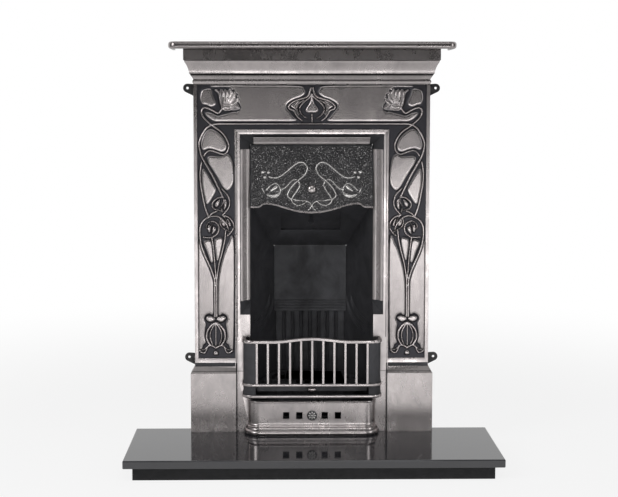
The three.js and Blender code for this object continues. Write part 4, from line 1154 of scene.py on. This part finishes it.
# %% Stippled ground
FLOAT, INT, MATERIAL = "NodeSocketFloat", "NodeSocketInt", "NodeSocketMaterial"
stipple_tree, tree_in, tree_out = geometry_tree(
    "stippled_ground",
    [("Density", FLOAT), ("Smallest", FLOAT), ("Largest", FLOAT), ("Seed", INT), ("Material", MATERIAL)],
)
mask = node(
    stipple_tree, "GeometryNodeInputNamedAttribute", {"Name": "polish"}, data_type="FLOAT"
).outputs["Attribute"]
low = node(stipple_tree, "FunctionNodeCompare", {0: mask, 1: 0.12}, operation="LESS_THAN").outputs[0]
scatter = node(
    stipple_tree,
    "GeometryNodeDistributePointsOnFaces",
    {"Mesh": tree_in["Geometry"], "Selection": low, "Density": tree_in["Density"], "Seed": tree_in["Seed"]},
)
dome = node(stipple_tree, "GeometryNodeMeshIcoSphere", {"Radius": 1.0, "Subdivisions": 1}).outputs[0]
smooth = node(stipple_tree, "GeometryNodeSetShadeSmooth", {"Geometry": dome}).outputs[0]
size = node(
    stipple_tree,
    "FunctionNodeRandomValue",
    {2: tree_in["Smallest"], 3: tree_in["Largest"], "Seed": tree_in["Seed"]},
    data_type="FLOAT",
).outputs[1]
flat = node(
    stipple_tree,
    "ShaderNodeCombineXYZ",
    {0: size, 1: math_node(stipple_tree, "MULTIPLY", size, 0.55), 2: size},
).outputs[0]
domes = node(
    stipple_tree,
    "GeometryNodeInstanceOnPoints",
    {"Points": scatter.outputs["Points"], "Instance": smooth, "Scale": flat},
).outputs[0]
close_tree(stipple_tree, domes, tree_in["Material"], tree_out)
grown(
    "canopy_stipple", stipple_tree, canopy_sheet.data.copy(), "stipple_iron", "black_iron", "canopy_body",
    Density=46000.0, Smallest=0.0013, Largest=0.0028, Seed=7,
)

# %% [markdown]
# ## Ash-pan cover
# The cover is one thin wall bent round the front of the pan. Its section has a bead along the top and a
# cove and a fat roll at the foot. The section is swept round the bend, and the vents and the knob's slot
# are cut out.


# %% Sweep a section round the front
def bend(half, front, back, corner, out, turns=14):
    """The plan of a wall that runs forward, round a corner, across and back again, at a distance outward."""
    w, f, r = half + out, front - out, corner + out
    points = [(w, back)]
    points += [(w - r + r * math.cos(a), f + r - r * math.sin(a)) for a in np.linspace(0, math.pi / 2, turns)]
    return points + [(-x, y) for x, y in reversed(points)]


def swept(name, section, half, front, back, corner):
    """A closed mesh of a closed section, given as (out, z), taken round the bend."""
    plans = [bend(half, front, back, corner, out) for out, _ in section]
    count, length = len(section), len(plans[0])
    vertices = [at(*plans[i][k], section[i][1]) for i in range(count) for k in range(length)]
    faces = [
        (i * length + k, i * length + k + 1, (i + 1) % count * length + k + 1, (i + 1) % count * length + k)
        for i in range(count) for k in range(length - 1)
    ]
    faces += [[i * length for i in range(count)], [i * length + length - 1 for i in reversed(range(count))]]
    return closed_mesh(name, vertices, faces)


def arc(out, z, radius, start, end, count=7):
    """Part of a round section, from one angle to another, in degrees."""
    angles = [math.radians(start + (end - start) * i / (count - 1)) for i in range(count)]
    return [(out + radius * math.cos(a), z + radius * math.sin(a)) for a in angles]


def cut_boxes(mesh, boxes, name):
    """Cuts boxes, given by two corners in millimetres, out of a mesh."""
    host = bpy.data.objects.new(name + "_host", mesh)
    bpy.context.scene.collection.objects.link(host)
    shape = bmesh.new()
    for low, high in boxes:
        corners = [Vector(at(*low)), Vector(at(*high))]
        made = bmesh.ops.create_cube(shape, size=1)["verts"]
        for v in made:
            v.co = Vector(corners[0][i] if v.co[i] < 0 else corners[1][i] for i in range(3))
    cutter_mesh = bpy.data.meshes.new(name + "_cutter")
    shape.to_mesh(cutter_mesh)
    shape.free()
    cutter = bpy.data.objects.new(name + "_cutter", cutter_mesh)
    bpy.context.scene.collection.objects.link(cutter)
    boolean = host.modifiers.new("cut", "BOOLEAN")
    boolean.object = cutter
    boolean.solver = "EXACT"
    graph = bpy.context.evaluated_depsgraph_get()
    result = bpy.data.meshes.new_from_object(host.evaluated_get(graph))
    bpy.data.objects.remove(host)
    bpy.data.objects.remove(cutter)
    result.name = name
    return result


# %% Ash-pan cover
COVER = {
    "half": 218, "front": -93, "corner": 42, "back": -44.3, "top": 120, "vent": 21.6, "vent_height": 23.6,
    "vent_z": 68.6
}
VENTS = (-88.4, -43.3, 43.3, 88.4)
KNOB_SLOT = (17.4, 3.4)
bead = arc(-0.9, 115.0, 3.8, -76, 80, 9)
roll = arc(4.7, 9.6, 9.2, 64, -68, 12)
section = [(-6, 0.2), (-6, 119.8), (-1, 119.8), *bead[::-1], (0, 110), (0, 44)]
section += arc(8.4, 41, 8.4, 170, 225, 4) + arc(8.4, 35.6, 9.4, 206, 262, 6)
section += [(7.4, 23.4), (8.2, 22.2), (8.2, 18.4), *roll, (8, 0.2)]
cover_mesh = swept("cover_wall", section, COVER["half"], COVER["front"], COVER["back"], COVER["corner"])
front, half_vent, half_height = COVER["front"], COVER["vent"] / 2, COVER["vent_height"] / 2
openings = [(x, half_vent, half_height) for x in VENTS] + [(0, *KNOB_SLOT)]
holes = [
    ((x - half_x, front - 3, COVER["vent_z"] - half_z), (x + half_x, front + 9, COVER["vent_z"] + half_z))
    for x, half_x, half_z in openings
]
cover_mesh = cut_boxes(cover_mesh, holes, "ash_pan_cover_wall")
shade(cover_mesh, 32)
cover = mesh_object("ash_pan_cover_wall", cover_mesh, materials["cover_iron"])
declare(cover, "polished_iron", "cover_body", "ash_pan_cover")
print("cover faces", len(cover_mesh.polygons))

# %% [markdown]
# ## Vent knob
# The knob is a small flower: a ring, eight petals and a round heart. Geometry Nodes turn one petal round
# the middle.

# %% Rosette
KNOB = {"radius": 17.3, "petals": 8}
rosette_tree, tree_in, tree_out = geometry_tree(
    "rosette", [("Petals", INT), ("Radius", FLOAT), ("Depth", FLOAT), ("Material", MATERIAL)]
)
ring_radius = math_node(rosette_tree, "MULTIPLY", tree_in["Radius"], 0.56)
circle = node(
    rosette_tree, "GeometryNodeMeshCircle", {"Vertices": tree_in["Petals"], "Radius": ring_radius}
).outputs[0]
spot = tree_in["Radius"]
outward = node(rosette_tree, "GeometryNodeInputPosition").outputs[0]
turn = node(rosette_tree, "FunctionNodeAlignRotationToVector", {"Vector": outward}, axis="X").outputs[0]
petal = node(rosette_tree, "GeometryNodeMeshUVSphere", {"Segments": 14, "Rings": 8, "Radius": 1.0}).outputs[0]
long_side = math_node(rosette_tree, "MULTIPLY", spot, 0.34)
short_side = math_node(rosette_tree, "MULTIPLY", spot, 0.2)
petal_size = node(
    rosette_tree, "ShaderNodeCombineXYZ", {0: long_side, 1: short_side, 2: tree_in["Depth"]}
).outputs[0]
petals = node(
    rosette_tree,
    "GeometryNodeInstanceOnPoints",
    {"Points": circle, "Instance": petal, "Rotation": turn, "Scale": petal_size},
).outputs[0]
heart_size = math_node(rosette_tree, "MULTIPLY", spot, 0.24)
heart = node(
    rosette_tree, "GeometryNodeMeshUVSphere", {"Segments": 20, "Rings": 10, "Radius": heart_size}
).outputs[0]
disc_size = math_node(rosette_tree, "MULTIPLY", spot, 0.9)
plate = node(
    rosette_tree, "GeometryNodeMeshCylinder", {"Vertices": 48, "Radius": disc_size, "Depth": tree_in["Depth"]}
).outputs[0]
hoop_kind = "GeometryNodeCurvePrimitiveCircle"
hoop_radius = math_node(rosette_tree, "MULTIPLY", spot, 0.91)
wire_radius = math_node(rosette_tree, "MULTIPLY", spot, 0.085)
hoop_path = node(rosette_tree, hoop_kind, {"Resolution": 56, "Radius": hoop_radius}).outputs[0]
hoop_wire = node(rosette_tree, hoop_kind, {"Resolution": 12, "Radius": wire_radius}).outputs[0]
hoop = node(
    rosette_tree, "GeometryNodeCurveToMesh", {"Curve": hoop_path, "Profile Curve": hoop_wire}
).outputs[0]
whole = rosette_tree.nodes.new("GeometryNodeJoinGeometry")
for made in (petals, heart, plate, hoop):
    rosette_tree.links.new(made, whole.inputs[0])
smooth = node(rosette_tree, "GeometryNodeSetShadeSmooth", {"Geometry": whole.outputs[0]}).outputs[0]
close_tree(rosette_tree, smooth, tree_in["Material"], tree_out)
rosette = grown(
    "vent_rosette", rosette_tree, bpy.data.meshes.new("seed"),
    "knob_iron", "polished_iron", "vent_body", ("vent_knob",),
    Petals=KNOB["petals"], Radius=KNOB["radius"] * MM, Depth=0.0026,
)
rosette.data.materials.append(materials["canopy_iron"])
for face in rosette.data.polygons:
    from_middle = math.hypot(face.center.x, face.center.y) / (KNOB["radius"] * MM)
    face.material_index = int(from_middle > 0.84 or face.center.z < 0.0014)
knob_low, knob_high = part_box("vent_knob")
knob_middle = (knob_low + knob_high) / 2
for vertex in rosette.data.vertices:
    x, y, z = vertex.co
    vertex.co = (knob_middle.x + x, knob_high.y - 0.0022 - z, knob_middle.z + y)
shade(rosette.data, 40)

# %% [markdown]
# ## Polished strips of the reveal
# The splayed reveal is left black, and a strip on each side and across the top is polished: a flat with a
# bead along each edge, or along the lower edge only. The strips stop short of the corners, where the reveal
# stays black.

# %% Reveal strips
STRIP = {
    "front": (243.6, -41.6), "back": (211.9, -6.2), "foot": 455, "head": 974, "flat": 0.8, "bead": 4.6,
    "across": 198
}
STRIP_HEAD = {"front": (1014.7, -49.0), "back": (992.2, -6.4)}


def strip_faces(rows):
    """Faces of a closed strip with four vertices to a row: face and back at each of its two ends."""
    faces = []
    for k in range(0, 4 * (rows - 1), 4):
        n = k + 4
        faces += [(k, n, n + 2, k + 2), (k + 1, k + 3, n + 3, n + 1)]
        faces += [(k, k + 1, n + 1, n), (k + 2, n + 2, n + 3, k + 3)]
    last = 4 * (rows - 1)
    return faces + [(0, 2, 3, 1), (last, last + 1, last + 3, last + 2)]


def strip(name, corners, lift, finish="strip_lit_copy_iron", middles=(0.17, 0.83)):
    """A strip over four corners, in turn, with beads along it, raised from its face along lift."""
    a, b, c, d = (Vector(p) for p in corners)
    lift = Vector(lift).normalized()
    rows = 43
    vertices, rubbed = [], []
    for i in range(rows):
        t = i / (rows - 1)
        beads = [math.sqrt(max(0, 1 - ((t - middle) / 0.17) ** 2)) for middle in middles]
        crown = max(STRIP["flat"], STRIP["bead"] * max(beads)) if 0 < i < rows - 1 else 0
        rubbed += [0.76 + 0.24 * min(1, 3 * max(beads))] * 4
        for p, q in ((a, b), (d, c)):
            base = p.lerp(q, t)
            vertices.append(at(*(base + lift * crown)))
            vertices.append(at(*(base - lift * 0.8)))
    mesh = closed_mesh(name, vertices, strip_faces(rows))
    mesh.attributes.new("polish", "FLOAT", "POINT").data.foreach_set("value", np.array(rubbed, np.float32))
    shade(mesh, 50)
    piece = mesh_object(name, mesh, materials[finish])
    declare(piece, "polished_iron", "fireplace_body")


(fx, fy), (bx, by) = STRIP["front"], STRIP["back"]
for side, name in ((-1, "reveal_strip_left"), (1, "reveal_strip_right")):
    foot = [(side * fx, fy, STRIP["foot"]), (side * bx, by, STRIP["foot"])]
    ring = foot + [(side * bx, by, STRIP["head"]), (side * fx, fy, STRIP["head"])]
    strip(name, ring, (side * (fy - by), -(fx - bx), 0))
(fz, fy), (bz, by) = STRIP_HEAD["front"], STRIP_HEAD["back"]
wide = STRIP["across"]
ring = [(-wide, fy, fz), (-wide, by, bz), (wide, by, bz), (wide, fy, fz)]
strip("reveal_strip_top", ring, (0, -(fz - bz), fy - by), "strip_head_lit_copy_iron", (0.83,))
print("reveal strips: 3")

# %% [markdown]
# Under each jamb panel a shallow band is left black, between the bright moulding of the panel and the
# shoulder of the foot block.

# %% Black bands over the foot blocks
BAND = {"inner": 263, "outer": 400.4, "low": 227.6, "high": 240.5, "face": -40.1, "proud": 0.5}


def black_band(name, side):
    """A thin crowned strip across the foot of a jamb."""
    rows = 9
    vertices = []
    for i in range(rows):
        t = i / (rows - 1)
        z = BAND["low"] + (BAND["high"] - BAND["low"]) * t
        out = BAND["proud"] * math.sin(math.pi * t) ** 0.5
        for x in (BAND["inner"], BAND["outer"]):
            vertices += [at(side * x, BAND["face"] - out, z), at(side * x, BAND["face"] + 1.5, z)]
    piece = mesh_object(name, closed_mesh(name, vertices, strip_faces(rows)), materials["black_iron"])
    shade(piece.data, 50)
    declare(piece, "black_iron", "fireplace_body")


black_band("foot_band_left", -1)
black_band("foot_band_right", 1)

# %% [markdown]
# ## Reeds of the fireback
# Half-round reeds are cast on the cheeks in two sweeping bands, and across the foot of the upper back
# plate. One tree repeats a curve at an even pitch and gives each copy a round section.

# %% Reeds
reed_tree, tree_in, tree_out = geometry_tree(
    "reeds", [("Count", INT), ("Pitch", "NodeSocketVector"), ("Radius", FLOAT), ("Material", MATERIAL)]
)
line = node(reed_tree, "GeometryNodeMeshToCurve", {0: tree_in["Geometry"]}).outputs[0]
row = node(
    reed_tree, "GeometryNodeMeshLine", {"Count": tree_in["Count"], "Offset": tree_in["Pitch"]}
).outputs[0]
copies = node(reed_tree, "GeometryNodeInstanceOnPoints", {"Points": row, "Instance": line}).outputs[0]
real = node(reed_tree, "GeometryNodeRealizeInstances", {0: copies}).outputs[0]
bar = node(
    reed_tree, "GeometryNodeCurvePrimitiveCircle", {"Resolution": 10, "Radius": tree_in["Radius"]}
).outputs[0]
tube = node(
    reed_tree, "GeometryNodeCurveToMesh", {"Curve": real, "Profile Curve": bar, "Fill Caps": True}
).outputs[0]
close_tree(reed_tree, tube, tree_in["Material"], tree_out)


def reeds(name, points, count, pitch, radius, body="fireplace_body"):
    mesh = bpy.data.meshes.new(name + "_line")
    mesh.from_pydata([at(*p) for p in points], [(i, i + 1) for i in range(len(points) - 1)], [])
    offset = tuple(v * MM for v in pitch)
    piece = grown(
        name, reed_tree, mesh, "black_iron", "black_iron", body, Count=count, Pitch=offset, Radius=radius * MM
    )
    shade(piece.data, 50)


CHEEK = {"front": 211, "splay": 81 / 185}
CHEEK_BANDS = {
    "outer": [(150, 424), (128, 396), (96, 374), (58, 359), (16, 351)],
    "inner": [(182, 418), (160, 380), (128, 352), (92, 334), (50, 324)],
}
for side, hand in ((-1, "left"), (1, "right")):
    for band_name, band_points in CHEEK_BANDS.items():
        bent = smooth_line(band_points, pace=6)
        on_cheek = [(side * (CHEEK["front"] - CHEEK["splay"] * y), y, z) for y, z in bent]
        reeds(f"cheek_reeds_{band_name}_{hand}", on_cheek, 3, (0, 0, 9.5), 2.2)
reeds("back_reeds", [(-126, 185, 392), (126, 185, 392)], 4, (0, 0, 9.6), 2.4)
